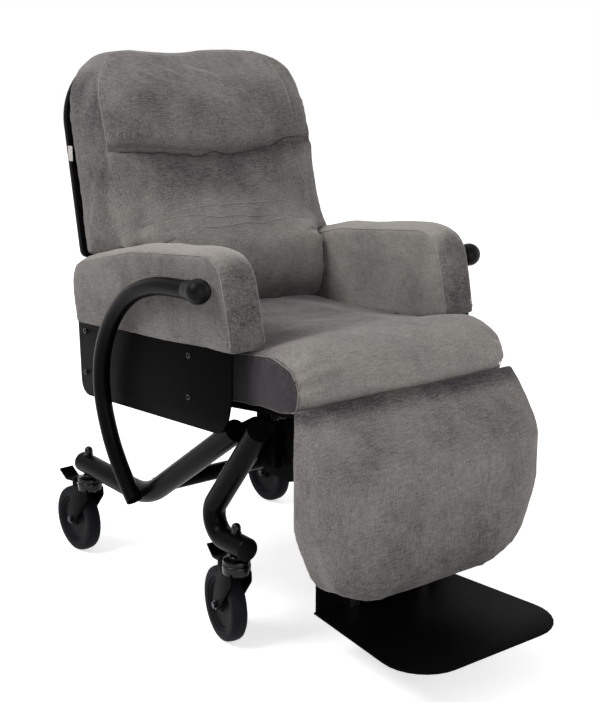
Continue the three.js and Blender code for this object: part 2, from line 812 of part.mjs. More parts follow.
buildBase();
buildCasters();
buildSeat();
buildBack();
buildLegrest();
buildStruts();

export default chair;
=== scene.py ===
"""Looks of the patient recliner chair: stitched cushions, powder-coated tubes, casters and a pale studio."""

import json
import math

import bmesh
import bpy
import numpy as np
from mathutils import Matrix, Vector, kdtree, noise
from mathutils.bvhtree import BVHTree


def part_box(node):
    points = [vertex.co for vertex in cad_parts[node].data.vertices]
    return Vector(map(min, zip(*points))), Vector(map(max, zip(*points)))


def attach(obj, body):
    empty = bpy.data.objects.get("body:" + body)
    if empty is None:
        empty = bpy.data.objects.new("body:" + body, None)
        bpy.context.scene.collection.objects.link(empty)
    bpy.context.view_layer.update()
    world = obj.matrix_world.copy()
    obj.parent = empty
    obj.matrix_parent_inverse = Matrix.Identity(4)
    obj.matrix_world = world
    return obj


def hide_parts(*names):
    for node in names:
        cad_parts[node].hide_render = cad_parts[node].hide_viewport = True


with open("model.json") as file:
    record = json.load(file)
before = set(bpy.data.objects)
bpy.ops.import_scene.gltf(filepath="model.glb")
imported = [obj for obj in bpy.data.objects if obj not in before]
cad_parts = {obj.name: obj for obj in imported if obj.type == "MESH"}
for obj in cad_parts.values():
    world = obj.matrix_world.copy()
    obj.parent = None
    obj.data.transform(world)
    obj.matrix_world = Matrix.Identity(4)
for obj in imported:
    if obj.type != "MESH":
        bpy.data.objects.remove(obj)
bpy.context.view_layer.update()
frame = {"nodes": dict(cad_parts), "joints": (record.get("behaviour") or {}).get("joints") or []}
SCENE = bpy.context.scene
JOINTS = {joint["name"]: joint for joint in frame["joints"]}
SIDES = {"right": -1, "left": 1}
UP, FORWARD = (0, 0, 1), (0, -1, 0)
CORNERS = ("front_right", "front_left", "rear_right", "rear_left")

# ------------------------------------------------------------------ driving sizes, metres
LEG_RADIUS = 0.0225
HAND_RADIUS = 0.0175
TUBE_WALL = 0.0025
CROSSBAR_RADIUS = 0.017
WHEEL_RADIUS = 0.075
EASE = 0.0012  # rounding of pressed and cut plate edges
MERGE = 1e-6  # points closer than this are one
VOXEL, FINE_VOXEL = 0.006, 0.005  # spacing of the cushions' even mesh, finer on the armrests
SEWN = 0.007  # cloth this near a seam is sewn down
SEAM = 0.0009  # radius of a folded seam edge
CREASE_ANGLE = 35.0  # degrees; flatter edges are shaded smooth
SKIN_LIFT = 0.0004  # how far stitching stands off the cloth
HEM = 0.018
PAD_CORNER = 0.040  # upper corners of the legrest pad, and half the width of the straight edge between them
PAD_TOP_HALF_WIDTH = 0.222
CAMERA_AT = (-1.5265, -2.0006, 1.140)
CAMERA_DIP, CAMERA_TURN = 13.72, 37.17  # degrees below level and to the right of straight on
CAMERA_LENS = 65.13  # millimetres


def joint_at(name):
    return Vector(JOINTS[name]["pos_m"])


TILT = joint_at("seat_tilt")


# ------------------------------------------------------------------ shader helpers
def feed(tree, made, inputs):
    """Gives a node its inputs, which are plain values or the sockets that feed them."""
    for socket, value in inputs.items():
        if isinstance(value, bpy.types.NodeSocket):
            tree.links.new(value, made.inputs[socket])
        else:
            made.inputs[socket].default_value = value
    return made


def node(tree, kind, inputs=(), **settings):
    made = tree.nodes.new(kind)
    for name, value in settings.items():
        setattr(made, name, value)
    return feed(tree, made, dict(inputs))


def effect(name, inputs, outputs):
    """An empty node group with named sockets: (tree, its input sockets, its output node)."""
    tree = bpy.data.node_groups.new(name, "ShaderNodeTree")
    for label, default in inputs.items():
        socket = tree.interface.new_socket(name=label, in_out="INPUT", socket_type="NodeSocketFloat")
        socket.default_value = default
    for label in outputs:
        tree.interface.new_socket(name=label, in_out="OUTPUT", socket_type="NodeSocketFloat")
    return tree, tree.nodes.new("NodeGroupInput").outputs, tree.nodes.new("NodeGroupOutput")


def math_node(tree, operation, a, b):
    return node(tree, "ShaderNodeMath", {0: a, 1: b}, operation=operation).outputs[0]


def ranged(tree, value, start, end, low=0.0, high=1.0):
    """A value rescaled, so that its start gives the low and its end the high, and held between them."""
    inputs = {"Value": value, "From Min": start, "From Max": end, "To Min": low, "To Max": high}
    return node(tree, "ShaderNodeMapRange", inputs).outputs[0]


def stretched_noise(tree, scale, detail=2.0, roughness=0.5):
    """Noise on Object coordinates, with a scale of its own along each axis."""
    place = node(tree, "ShaderNodeTexCoord").outputs["Object"]
    scaled = node(tree, "ShaderNodeVectorMath", {0: place, 1: scale}, operation="MULTIPLY").outputs[0]
    inputs = {"Vector": scaled, "Scale": 1.0, "Detail": detail, "Roughness": roughness}
    return node(tree, "ShaderNodeTexNoise", inputs).outputs["Fac"]


def woven_threads():
    """Slubby threads that run along all three axes, so that warp and weft show on every side."""
    inputs = {"Threads per metre": 560.0, "Slubs per metre": 50.0}
    tree, given, out = effect("woven_threads", inputs, ["Height", "Slub"])
    total = None
    for axis in range(3):
        parts = [given["Slubs per metre"] if axis == i else given["Threads per metre"] for i in range(3)]
        scale = node(tree, "ShaderNodeCombineXYZ", dict(enumerate(parts))).outputs[0]
        threads = stretched_noise(tree, scale, 1.0)
        total = threads if total is None else math_node(tree, "ADD", total, threads)
    height = math_node(tree, "DIVIDE", total, 3.0)
    feed(tree, out, {"Height": height, "Slub": ranged(tree, height, 0.36, 0.64)})
    return tree


def brushed_nap():
    """Patches where the nap lies one way or the other, with soft streaks from a hand."""
    tree, given, out = effect("brushed_nap", {"Patches per metre": 9.0, "Streaks per metre": 60.0}, ["Shade"])
    patches = stretched_noise(tree, given["Patches per metre"], 4.0, 0.55)
    across = math_node(tree, "MULTIPLY", given["Streaks per metre"], 0.35)
    parts = {0: given["Streaks per metre"], 1: across, 2: across}
    scale = node(tree, "ShaderNodeCombineXYZ", parts).outputs[0]
    streaks = stretched_noise(tree, scale, 2.0)
    mixed = node(tree, "ShaderNodeMix", {"Factor": 0.2, "A": patches, "B": streaks}).outputs["Result"]
    feed(tree, out, {"Shade": ranged(tree, mixed, 0.22, 0.78)})
    return tree


def coat_texture():
    """The fine orange peel of a sprayed or moulded surface, and the scuffs it collects."""
    inputs = {"Grains per metre": 900.0, "Scuffs per metre": 45.0}
    tree, given, out = effect("coat_texture", inputs, ["Height", "Scuff"])
    grain = stretched_noise(tree, given["Grains per metre"], 2.0)
    scuff = stretched_noise(tree, given["Scuffs per metre"], 6.0, 0.65)
    feed(tree, out, {"Height": grain, "Scuff": ranged(tree, scuff, 0.45, 0.75)})
    return tree


THREADS = woven_threads()
NAP = brushed_nap()
COAT = coat_texture()


def surface(name, plain):
    """A material with its Principled shader and that shader's plain values."""
    material = bpy.data.materials.new(name)
    material.use_nodes = True
    tree = material.node_tree
    return material, tree, feed(tree, tree.nodes["Principled BSDF"], plain)


def placed(tree, group, inputs=()):
    """A shared effect placed in a material, as its output sockets."""
    return node(tree, "ShaderNodeGroup", inputs, node_tree=group).outputs


def two_tone(tree, factor, dark, light):
    """The dark colour where the factor is 0, the light one where it is 1."""
    made = node(tree, "ShaderNodeMix", data_type="RGBA")
    feed(tree, made, {"Factor": factor})
    first, second = [socket for socket in made.inputs if socket.type == "RGBA"]
    first.default_value = (*dark, 1)
    second.default_value = (*light, 1)
    return next(socket for socket in made.outputs if socket.type == "RGBA")


def bump(tree, shader, height, distance, strength=1.0):
    made = node(tree, "ShaderNodeBump", {"Height": height, "Distance": distance, "Strength": strength})
    feed(tree, shader, {"Normal": made.outputs[0]})


def chenille(name, dark, light, with_painted_light=False):
    """Mottled nap over a slubby weave, paler where it turns away; optionally with painted shade and painted
    light from a per-vertex attribute, which darkens or lightens the colour.
    """
    sheen = {"Sheen Weight": 0.3, "Sheen Roughness": 0.4, "Sheen Tint": (0.85, 0.82, 0.8, 1)}
    material, tree, shader = surface(name, {"Roughness": 0.92, "Specular IOR Level": 0.15, **sheen})
    weave = placed(tree, THREADS)
    nap = placed(tree, NAP)
    both = {"Factor": 0.5, "A": nap["Shade"], "B": weave["Slub"]}
    tone = node(tree, "ShaderNodeMix", both).outputs["Result"]
    # painted shade and painted light: the colour is darkened where the attribute falls below 1 and lightened
    # where it rises above 1
    if with_painted_light:
        painted_light_and_nap_level = node(tree, "ShaderNodeAttribute", attribute_name="nap_and_painted_light").outputs["Fac"]
        tone = math_node(tree, "SUBTRACT", tone, math_node(tree, "SUBTRACT", 1.0, painted_light_and_nap_level))
    feed(tree, shader, {"Base Color": two_tone(tree, tone, dark, light)})
    bump(tree, shader, weave["Height"], 0.0010, 0.6)
    return material


def coated(name, colour, roughness, specular, grains, depth, scuff=0.06, metallic=0.0):
    """A sprayed or moulded finish with orange peel and faint scuffs."""
    material, tree, shader = surface(name, {"Specular IOR Level": specular, "Metallic": metallic})
    coat = placed(tree, COAT, {"Grains per metre": grains})
    worn = tuple(channel * 1.3 + 0.0004 for channel in colour)
    dull = ranged(tree, coat["Scuff"], 0.0, 1.0, roughness, roughness + scuff)
    feed(tree, shader, {"Base Color": two_tone(tree, coat["Scuff"], colour, worn), "Roughness": dull})
    bump(tree, shader, coat["Height"], depth)
    return material


def plywood(name):
    material, tree, shader = surface(name, {"Roughness": 0.7})
    grain = stretched_noise(tree, (60.0, 60.0, 4.0), 6.0, 0.6)
    feed(tree, shader, {"Base Color": two_tone(tree, grain, (0.24, 0.15, 0.08), (0.46, 0.33, 0.2))})
    bump(tree, shader, grain, 0.0003)
    return material


# the commonest slots are written with their usual finish
# the upholstery takes painted light and shade from a per-vertex attribute
UPHOLSTERY = chenille("chenille_taupe", (0.030, 0.027, 0.031), (0.263, 0.245, 0.226), True)
SEAM_CLOTH = chenille("chenille_seam", (0.15, 0.14, 0.133), (0.29, 0.275, 0.258))
# near-black cloth for a cord that paints the shadow in a crease
CREASE_SHADOW_CLOTH = chenille("chenille_crease_shadow", (0.014, 0.013, 0.015), (0.06, 0.055, 0.054))
TUBE = "black_tube", coated("powder_coat_tube", (0.0016, 0.0016, 0.0018), 0.28, 0.03, 900.0, 0.00005)
PLATE = "black_plate", coated("powder_coat_plate", (0.0012, 0.0012, 0.0013), 0.42, 0.012, 1100.0, 0.00006)
BLACK_SHELL = coated("moulded_shell", (0.0018, 0.0018, 0.002), 0.46, 0.03, 1500.0, 0.00008)
KNOB = "black_knob", coated("moulded_knob", (0.0022, 0.0022, 0.0025), 0.36, 0.07, 1300.0, 0.00006)
GLOSS_BLACK = coated("gloss_black", (0.002, 0.002, 0.002), 0.14, 0.2, 500.0, 0.00004, 0.1)
TYRE = coated("tyre_rubber", (0.0055, 0.0058, 0.007), 0.62, 0.05, 700.0, 0.0001, 0.1)
HUB = coated("wheel_hub", (0.004, 0.0042, 0.005), 0.5, 0.05, 1000.0, 0.00006, 0.1)
ROD_STEEL = "bright_steel", coated("bright_steel", (0.5, 0.51, 0.52), 0.24, 0.5, 1400.0, 0.00003, 0.14, 1.0)
PLY = plywood("birch_ply")
TAG_CLOTH = chenille("woven_tag", (0.32, 0.31, 0.30), (0.5, 0.48, 0.46))


# ------------------------------------------------------------------ making pieces
def linked(name, data):
    """An object of the scene that shows a mesh, a lamp or a camera."""
    made = bpy.data.objects.new(name, data)
    SCENE.collection.objects.link(made)
    return made


def object_from(name, bm):
    """A bmesh, used up, as an object of the scene."""
    mesh = bpy.data.meshes.new(name)
    bm.to_mesh(mesh)
    bm.free()
    return linked(name, mesh)


def piece(name, bm, body, slot, material, stands_for=()):
    """Turns a finished bmesh into a piece that rides on a body and stands for CAD nodes."""
    bmesh.ops.recalc_face_normals(bm, faces=bm.faces)
    made = object_from(name, bm)
    made.data.materials.append(material)
    made.data.shade_smooth()
    made.data.set_sharp_from_angle(angle=math.radians(CREASE_ANGLE))
    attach(made, body)
    if stands_for:
        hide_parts(*stands_for)
    return made


def merged_copy(name):
    """A bmesh of a CAD node with its loose triangles joined and its flat faces whole."""
    bm = bmesh.new()
    bm.from_mesh(frame["nodes"][name].data)
    bmesh.ops.remove_doubles(bm, verts=bm.verts, dist=1e-5)
    bmesh.ops.dissolve_limit(bm, angle_limit=math.radians(1), verts=bm.verts, edges=bm.edges)
    return bm


def sharp_edges(bm, degrees):
    return [e for e in bm.edges if len(e.link_faces) == 2 and e.calc_face_angle() > math.radians(degrees)]


def eased_plate(node_name, body, slot, material, width=EASE, name=None):
    """A plate part as the CAD has it, with its cut edges eased."""
    bm = merged_copy(node_name)
    edges = sharp_edges(bm, 40)
    bmesh.ops.bevel(
        bm, geom=edges, offset=width, segments=2, profile=0.5, affect="EDGES", material=-1, clamp_overlap=True
    )
    return piece(name or node_name + "_plate", bm, body, slot, material, [node_name])


def rounded(corners, degrees=6.0):
    """A route through 2-D corners (a, b, radius) with an arc at each corner that has a radius."""
    points = []
    for i, (a, b, radius) in enumerate(corners):
        here = Vector((a, b))
        if not radius:
            points.append(here)
            continue
        back = (Vector(corners[i - 1][:2]) - here).normalized()
        on = (Vector(corners[(i + 1) % len(corners)][:2]) - here).normalized()
        half = back.angle(on) / 2
        centre = here + (back + on).normalized() * radius / math.sin(half)
        turn = math.pi - 2 * half
        steps = max(2, round(math.degrees(turn) / degrees))
        first = here + back * radius / math.tan(half) - centre
        way = 1 if back.x * on.y - back.y * on.x < 0 else -1
        for k in range(steps + 1):
            angle = way * turn * k / steps
            cos, sin = math.cos(angle), math.sin(angle)
            points.append(centre + Vector((first.x * cos - first.y * sin, first.x * sin + first.y * cos)))
    return points


def walked_ring(route, radius, sides):
    """A bar made by walking a ring along a 3-D route, turning it with the route, and closing both ends."""
    bm = bmesh.new()
    ahead, behind = route[1:] + route[-1:], route[:1] + route[:-1]
    ways = [(b - a).normalized() for a, b in zip(behind, ahead)]
    start = Matrix.Translation(route[0]) @ aimed(ways[0])
    ring = bmesh.ops.create_circle(bm, segments=sides, radius=radius, matrix=start, cap_ends=False)["verts"]
    first = list(ring)
    edges = list({e for v in ring for e in v.link_edges})
    for i in range(1, len(route)):
        grown = bmesh.ops.extrude_edge_only(bm, edges=edges)["geom"]
        ring = [g for g in grown if isinstance(g, bmesh.types.BMVert)]
        edges = [g for g in grown if isinstance(g, bmesh.types.BMEdge) and all(v in ring for v in g.verts)]
        bmesh.ops.translate(bm, verts=ring, vec=route[i] - route[i - 1])
        turn = ways[i - 1].rotation_difference(ways[i]).to_matrix()
        bmesh.ops.rotate(bm, verts=ring, cent=route[i], matrix=turn)
    bmesh.ops.contextual_create(bm, geom=first)
    bmesh.ops.contextual_create(bm, geom=ring)
    return bm


def turned(profile, axis="X", sides=48):
    """A piece turned on a lathe: profile points are (radius, along)."""
    bm = bmesh.new()
    spots = [(along, 0, radius) if axis == "X" else (radius, 0, along) for radius, along in profile]
    spots = [bm.verts.new(spot) for spot in spots]
    edges = [bm.edges.new(pair) for pair in zip(spots, spots[1:])]
    way = (1, 0, 0) if axis == "X" else (0, 0, 1)
    whole = {"cent": (0, 0, 0), "axis": way, "dvec": (0, 0, 0), "angle": 2 * math.pi, "use_merge": True}
    bmesh.ops.spin(bm, geom=spots + edges, steps=sides, **whole)
    bmesh.ops.remove_doubles(bm, verts=bm.verts, dist=MERGE)
    return bm


def cut_plate(points, thickness, place=Matrix.Identity(4), ease=EASE):
    """A plate cut to a 2-D outline, given its thickness and eased all round."""
    bm = bmesh.new()
    face = bm.faces.new([bm.verts.new((p.x, p.y, 0)) for p in points])
    grown = bmesh.ops.extrude_face_region(bm, geom=[face])["geom"]
    top = [g for g in grown if isinstance(g, bmesh.types.BMVert)]
    bmesh.ops.translate(bm, verts=top, vec=(0, 0, thickness))
    bmesh.ops.recalc_face_normals(bm, faces=bm.faces)
    bmesh.ops.bevel(
        bm, geom=sharp_edges(bm, 50), offset=ease, segments=2, profile=0.5, affect="EDGES", material=-1
    )
    bmesh.ops.transform(bm, matrix=place, verts=bm.verts)
    return bm


def joined(*parts):
    """Several bmeshes as one."""
    whole = bmesh.new()
    for part in parts:
        mesh = bpy.data.meshes.new("part")
        part.to_mesh(mesh)
        whole.from_mesh(mesh)
        bpy.data.meshes.remove(mesh)
        part.free()
    return whole


def aimed(way, rest=Vector((0, 0, 1))):
    """The turn that brings a piece made along +Z onto another direction."""
    return rest.rotation_difference(way).to_matrix().to_4x4()


def on_edge(x, y=0, z=0):
    """Stands a flat outline up across X, its thickness growing that way from the spot."""
    return Matrix(((0, 0, 1, x), (1, 0, 0, y), (0, 1, 0, z), (0, 0, 0, 1)))


def moved(bm, matrix):
    bmesh.ops.transform(bm, matrix=matrix, verts=bm.verts)
    return bm


def smooth_route(points, steps):
    """A Catmull-Rom route through the points."""
    ends = [points[0] * 2 - points[1], *points, points[-1] * 2 - points[-2]]
    route = []
    for p0, p1, p2, p3 in zip(ends, ends[1:], ends[2:], ends[3:]):
        for k in range(steps):
            t = k / steps
            straight = (2 * p1) + (p2 - p0) * t
            curved = (2 * p0 - 5 * p1 + 4 * p2 - p3) * t**2
            route.append((straight + curved + (3 * p1 - p0 - 3 * p2 + p3) * t**3) / 2)
    return route + [points[-1]]


# ------------------------------------------------------------------ base frame
def ring_centres(node_name):
    """The centreline of a swept CAD tube, from its lower end upwards, a ring at a time."""
    bm = bmesh.new()
    bm.from_mesh(frame["nodes"][node_name].data)
    bmesh.ops.remove_doubles(bm, verts=bm.verts, dist=1e-5)
    level = lower_end(bm)
    seen = set(level)
    centres = []
    while level:
        centres.append(sum((v.co for v in level), Vector()) / len(level))
        level = {e.other_vert(v) for v in level for e in v.link_edges} - seen
        seen |= level
    bm.free()
    return centres


def lower_end(bm):
    """The vertices of a swept tube's lower end: each end is a large group of faces in one plane."""
    for face in sorted(bm.faces, key=lambda f: f.calc_center_median().z):
        middle = face.calc_center_median()
        flat = [f for f in bm.faces if abs((f.calc_center_median() - middle).dot(face.normal)) < 1e-5]
        flat = [f for f in flat if f.normal.dot(face.normal) > 0.9999]
        if len(flat) > 12:
            return {v for f in flat for v in f.verts}
    raise ValueError("the tube has no flat end")


def end_plug(name, at, way, radius):
    """A moulded plug pushed into the end of a tube, with a low domed face."""
    face = [(radius - 0.0035, -0.012), (radius - 0.0032, 0), (radius - 0.0005, 0.0002), (radius, 0.0008),
            (radius - 0.0006, 0.0026), (radius * 0.6, 0.0036), (0, 0.004)]
    bm = turned([(0, -0.012), *face], "Z", 40)
    return piece(name, moved(bm, Matrix.Translation(at) @ aimed(way)), "base", *KNOB)


def leg_route(x, corners):
    """A leg tube's centreline, from corners (y, z, radius) in the plane at x."""
    return [Vector((x, p.x, p.y)) for p in rounded(corners, 4.0)]


def build_legs():
    """The two tubes of each leg, with a plug in each lower end."""
    for name in SIDES:
        front_stem = joint_at("caster_swivel_front_" + name)
        rear_stem = joint_at("caster_swivel_rear_" + name)
        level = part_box("rear_leg_tube_" + name)[0].z + LEG_RADIUS
        rear_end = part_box("rear_leg_tube_" + name)[1].y
        x = rear_stem.x
        rear = leg_route(x, [
            (rear_end, level, 0),
            (TILT.y + 0.371, level, 0.2),
            (TILT.y + 0.0385, TILT.z - 0.010, 0),
        ])
        front = leg_route(x, [
            (front_stem.y - 0.035, level, 0),
            (front_stem.y + 0.1184, level, 0.04),
            (TILT.y - 0.033, TILT.z + 0.0044, 0),
        ])
        for part, route in (("rear", rear), ("front", front)):
            made = f"{part}_leg_{name}"
            tube = walked_ring(route, LEG_RADIUS, 40)
            piece(made, tube, "base", *TUBE, [f"{part}_leg_tube_{name}"])
            way = (route[0] - route[1]).normalized()
            end_plug(f"{made}_plug", route[0] + way * 0.0001, way, LEG_RADIUS)


def build_hand_tubes():
    """The bent grab tubes, open at the foot, each with a ball knob on a collar."""
    ball = [(0, 0.023), (0.007, 0.0222), (0.0135, 0.0193), (0.019, 0.0143), (0.0225, 0.0075), (0.0237, 0.0),
            (0.0228, -0.0072), (0.0205, -0.0125)]
    collar = [(0.0196, -0.0165), (0.0192, -0.034), (0.0184, -0.0355), (0, -0.0355)]
    for name in SIDES:
        centres = ring_centres("hand_tube_" + name)
        route = smooth_route(centres, 3)
        if route[0].z > route[-1].z:
            route.reverse()
        tube = walked_ring(route, HAND_RADIUS, 36)
        ends = [f for f in tube.faces if len(f.verts) > 4 and f.calc_center_median().z < route[0].z + 0.01]
        bmesh.ops.inset_individual(tube, faces=ends, thickness=TUBE_WALL)
        mouth = list({v for f in ends for v in f.verts})
        bmesh.ops.translate(tube, verts=mouth, vec=(route[1] - route[0]) * 1.2)
        piece("hand_rail_" + name, tube, "base", *TUBE, ["hand_tube_" + name])
        low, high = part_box("hand_knob_" + name)
        centre = Vector(((low.x + high.x) / 2, low.y + 0.024, (low.z + high.z) / 2))
        way = (route[-1] - route[-3]).normalized()
        knob = moved(turned(ball + collar, "Z", 48), Matrix.Translation(centre) @ aimed(way))
        piece("ball_knob_" + name, knob, "base", *KNOB, ["hand_knob_" + name])


def build_base():
    build_legs()
    build_hand_tubes()
    low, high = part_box("rear_crossbar")
    at = (joint_at("tilt_strut_swing").y, low.z + CROSSBAR_RADIUS)
    bar = walked_ring([Vector((x, *at)) for x in np.linspace(low.x, high.x, 5)], CROSSBAR_RADIUS, 32)
    piece("crossbar_tube", bar, "base", *TUBE)
    eased_plate("rear_crossbar", "base", *TUBE, 0.0006, "crossbar_ears")
    eased_plate("front_crossmember", "base", *PLATE)
    for name in SIDES:
        eased_plate("leg_gusset_" + name, "base", *PLATE)


# ------------------------------------------------------------------ casters
def caster_frame(corner):
    """Where a caster stands and which way it trails, as a matrix from its own frame, with Z up."""
    stem = joint_at("caster_swivel_" + corner)
    across = JOINTS["wheel_spin_" + corner]["axis"]
    return Matrix.Translation((stem.x, stem.y, 0)) @ Matrix.Rotation(math.atan2(across[1], across[0]), 4, "Z")


def both_halves(half):
    """A closed profile from the half of it that ends on the middle plane."""
    return half + [(radius, -along) for radius, along in reversed(half[:-1])] + [half[0]]


def tyre_profile():
    """The tyre, from its bead out to the middle of the tread and back."""
    half = [(0.0525, -0.0105), (0.0535, -0.0145), (0.0575, -0.0158), (0.064, -0.016), (0.0695, -0.0152),
            (0.0728, -0.0128), (0.0742, -0.0095), (0.0748, -0.005), (WHEEL_RADIUS, 0.0)]
    return both_halves(half)


def hub_profile():
    """The hub: its boss, dished web and rim."""
    half = [(0.0048, -0.0172), (0.0135, -0.0172), (0.0148, -0.016), (0.0162, -0.009), (0.022, -0.0072),
            (0.043, -0.0072), (0.0468, -0.0085), (0.0486, -0.0122), (0.0512, -0.0132), (0.0528, -0.0122),
            (0.0528, 0.0)]
    return both_halves(half)


def swivel_head():
    """The turned head over the fork: stem collar, upper race, a narrow dust groove and the lower race."""
    collar = [(0.0, 0.1941), (0.013, 0.1941), (0.014, 0.1930), (0.014, 0.1888)]
    upper_race = [(0.0240, 0.1884), (0.0262, 0.1872), (0.0270, 0.1850), (0.0270, 0.1812), (0.0262, 0.1802)]
    groove = [(0.0254, 0.1798), (0.0254, 0.1786), (0.0266, 0.1780)]
    lower_race = [(0.0275, 0.1768), (0.0277, 0.1730), (0.0277, 0.1650), (0.0268, 0.1605), (0.0245, 0.1585)]
    return collar + upper_race + groove + lower_race + [(0.0, 0.1580)]


def fork_cheek(side, trail):
    outline = rounded([
        (-0.021, 0.166, 0.004), (-0.0225, 0.146, 0.012), (trail - 0.013, 0.070, 0.008),
        (trail, 0.0605, 0.012), (trail + 0.013, 0.070, 0.009), (trail + 0.012, 0.088, 0.02),
        (0.0405, 0.150, 0.03), (0.041, 0.1835, 0.005), (0.026, 0.1835, 0.006), (0.022, 0.168, 0.004),
    ], 12.0)
    return cut_plate(outline, 0.003, on_edge(0.019 if side > 0 else -0.022), 0.0008)


def fork_crown():
    half, front, back = 0.0222, -0.021, 0.038
    corners = [(-half, front, 0.008), (half, front, 0.008), (half, back, 0.004), (-half, back, 0.004)]
    outline = rounded(corners)
    return cut_plate(outline, 0.0045, Matrix.Translation((0, 0, 0.1542)), 0.0012)


def brake_lever():
    """The foot pedal: a pressed lever, its raised tread and three ribs."""
    side_view = rounded([
        (0.027, 0.1705, 0), (0.078, 0.164, 0.006), (0.1058, 0.1808, 0.001), (0.1040, 0.1846, 0.001),
        (0.077, 0.1688, 0.006), (0.036, 0.1798, 0.004), (0.028, 0.1798, 0.004),
    ], 15.0)
    lever = cut_plate(side_view, 0.0336, on_edge(-0.0168), 0.0007)
    ribs = []
    for k in range(4):
        share = k / 3
        at = Vector((0, 0.0835 + 0.0175 * share, 0.1737 + 0.0105 * share))
        rib = walked_ring([at + Vector((x, 0, 0)) for x in (-0.0145, -0.005, 0.005, 0.0145)], 0.0011, 8)
        ribs.append(rib)
    return joined(lever, *ribs)


def hex_bolt(radius, height):
    bm = turned([(0, 0), (radius, 0), (radius, height * 0.8), (radius * 0.86, height), (0, height)], "X", 6)
    washer = turned(bar_profile(radius * 1.25, -0.0008, 0), "X", 28)
    return joined(bm, washer)


def build_casters():
    dome = [(0, 0), (0.0102, 0), (0.0102, 0.0008), (0.0088, 0.0012), (0.0092, 0.0028), (0.0092, 0.0105),
            (0.0086, 0.0138), (0.0068, 0.0168), (0.0038, 0.0188), (0, 0.0195)]
    for corner in CORNERS:
        stand = caster_frame(corner)
        spin = joint_at("wheel_spin_" + corner)
        trail = (stand.inverted() @ spin).y
        axle = stand @ Matrix.Translation((0, trail, spin.z))
        wheel, fork = "wheel_" + corner, "caster_" + corner
        tyre = moved(turned(tyre_profile(), "X", 72), axle)
        piece("tyre_" + corner, tyre, wheel, "caster_tyre", TYRE, ["caster_wheel_" + corner])
        piece("wheel_hub_" + corner, moved(turned(hub_profile(), "X", 64), axle), wheel, "caster_tyre", HUB)
        cheeks = [fork_cheek(side, trail) for side in SIDES.values()]
        shell = moved(joined(*cheeks, fork_crown()), stand)
        piece("fork_shell_" + corner, shell, fork, *PLATE, ["caster_fork_" + corner])
        head = moved(turned(swivel_head(), "Z", 56), stand)
        piece("swivel_head_" + corner, head, fork, "black_plate", GLOSS_BLACK)
        bolts = [hex_bolt(0.0072, 0.0045), moved(hex_bolt(0.0072, 0.0045), Matrix.Rotation(math.pi, 4, "Z"))]
        moved(bolts[0], Matrix.Translation((0.0228, 0, 0)))
        moved(bolts[1], Matrix.Translation((-0.0228, 0, 0)))
        pin = turned(bar_profile(0.004, -0.0225, 0.0225), "X", 24)
        axle_set = moved(joined(*bolts, pin), axle)
        piece("axle_bolt_" + corner, axle_set, fork, "bright_steel", GLOSS_BLACK, ["caster_axle_" + corner])
        pedal, brake = moved(brake_lever(), stand), "brake_" + corner
        piece("brake_lever_" + corner, pedal, brake, *PLATE, ["brake_pedal_" + corner])
        nut_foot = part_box("caster_bolt_" + corner)[1].z - 0.0200
        nut = moved(turned(dome, "Z", 36), Matrix.Translation((*stand.translation.xy, nut_foot)))
        piece("dome_nut_" + corner, nut, "base", "black_plate", GLOSS_BLACK, ["caster_bolt_" + corner])


# ------------------------------------------------------------------ seat, back and legrest hardware
def build_hardware():
    eased_plate("seat_frame", "seat", *PLATE, 0.0008)
    eased_plate("back_shell", "back", "black_shell", BLACK_SHELL, 0.003)
    eased_plate("legrest_frame", "legrest", *PLATE, 0.0008)
    eased_plate("legrest_board", "legrest_carriage", "ply_board", PLY, 0.0015)
    eased_plate("footplate", "footplate", *PLATE, 0.0012)
    for name, side in SIDES.items():
        eased_plate("side_panel_" + name, "seat", *PLATE)
        eased_plate("back_hinge_plate_" + name, "back", *PLATE)
        eased_plate("footplate_post_" + name, "footplate", *ROD_STEEL, 0.0008)
        build_panel_screws(name, side)
        build_clamp_knob(name, side)
    build_shafts()
    build_struts()


def build_panel_screws(name, side):
    """Four button-head screws that hold the side panel to its brackets."""
    low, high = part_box("side_panel_" + name)
    face = (high if side > 0 else low).x
    spots = [(0.564, 0.088), (0.569, -0.004), (0.152, 0.115), (0.155, 0.033)]
    head = [(0, 0.0002), (0.0062, 0.0002), (0.0064, 0.001), (0.0054, 0.0026), (0.0032, 0.0031),
            (0.003, 0.0012), (0, 0.0012)]
    screws = []
    for back, up in spots:
        at = Matrix.Translation((face, TILT.y + back, TILT.z + up))
        turn = Matrix.Identity(4) if side > 0 else Matrix.Rotation(math.pi, 4, "Z")
        screws.append(moved(turned(head, "X", 28), at @ turn))
    piece("panel_screws_" + name, joined(*screws), "seat", "black_plate", GLOSS_BLACK)


def build_clamp_knob(name, side):
    """A clamp knob with eight finger lobes on a plain shank."""
    low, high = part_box("footplate_clamp_knob_" + name)
    centre = (low + high) / 2
    lobes = [(0.0118 + 0.0012 * math.cos(8 * a), a) for a in np.linspace(0, 2 * math.pi, 64, endpoint=False)]
    grip = cut_plate([Vector((r * math.cos(a), r * math.sin(a))) for r, a in lobes], 0.0138, ease=0.0015)
    shank = turned(bar_profile(0.005, -0.0102, 0.001), "Z", 24)
    turn = Matrix.Rotation(side * math.pi / 2, 4, "Y")
    shift = Matrix.Translation((centre.x - side * 0.0022, centre.y, centre.z))
    knob = moved(joined(grip, shank), shift @ turn)
    piece("clamp_knob_" + name, knob, "legrest", *KNOB, ["footplate_clamp_knob_" + name])


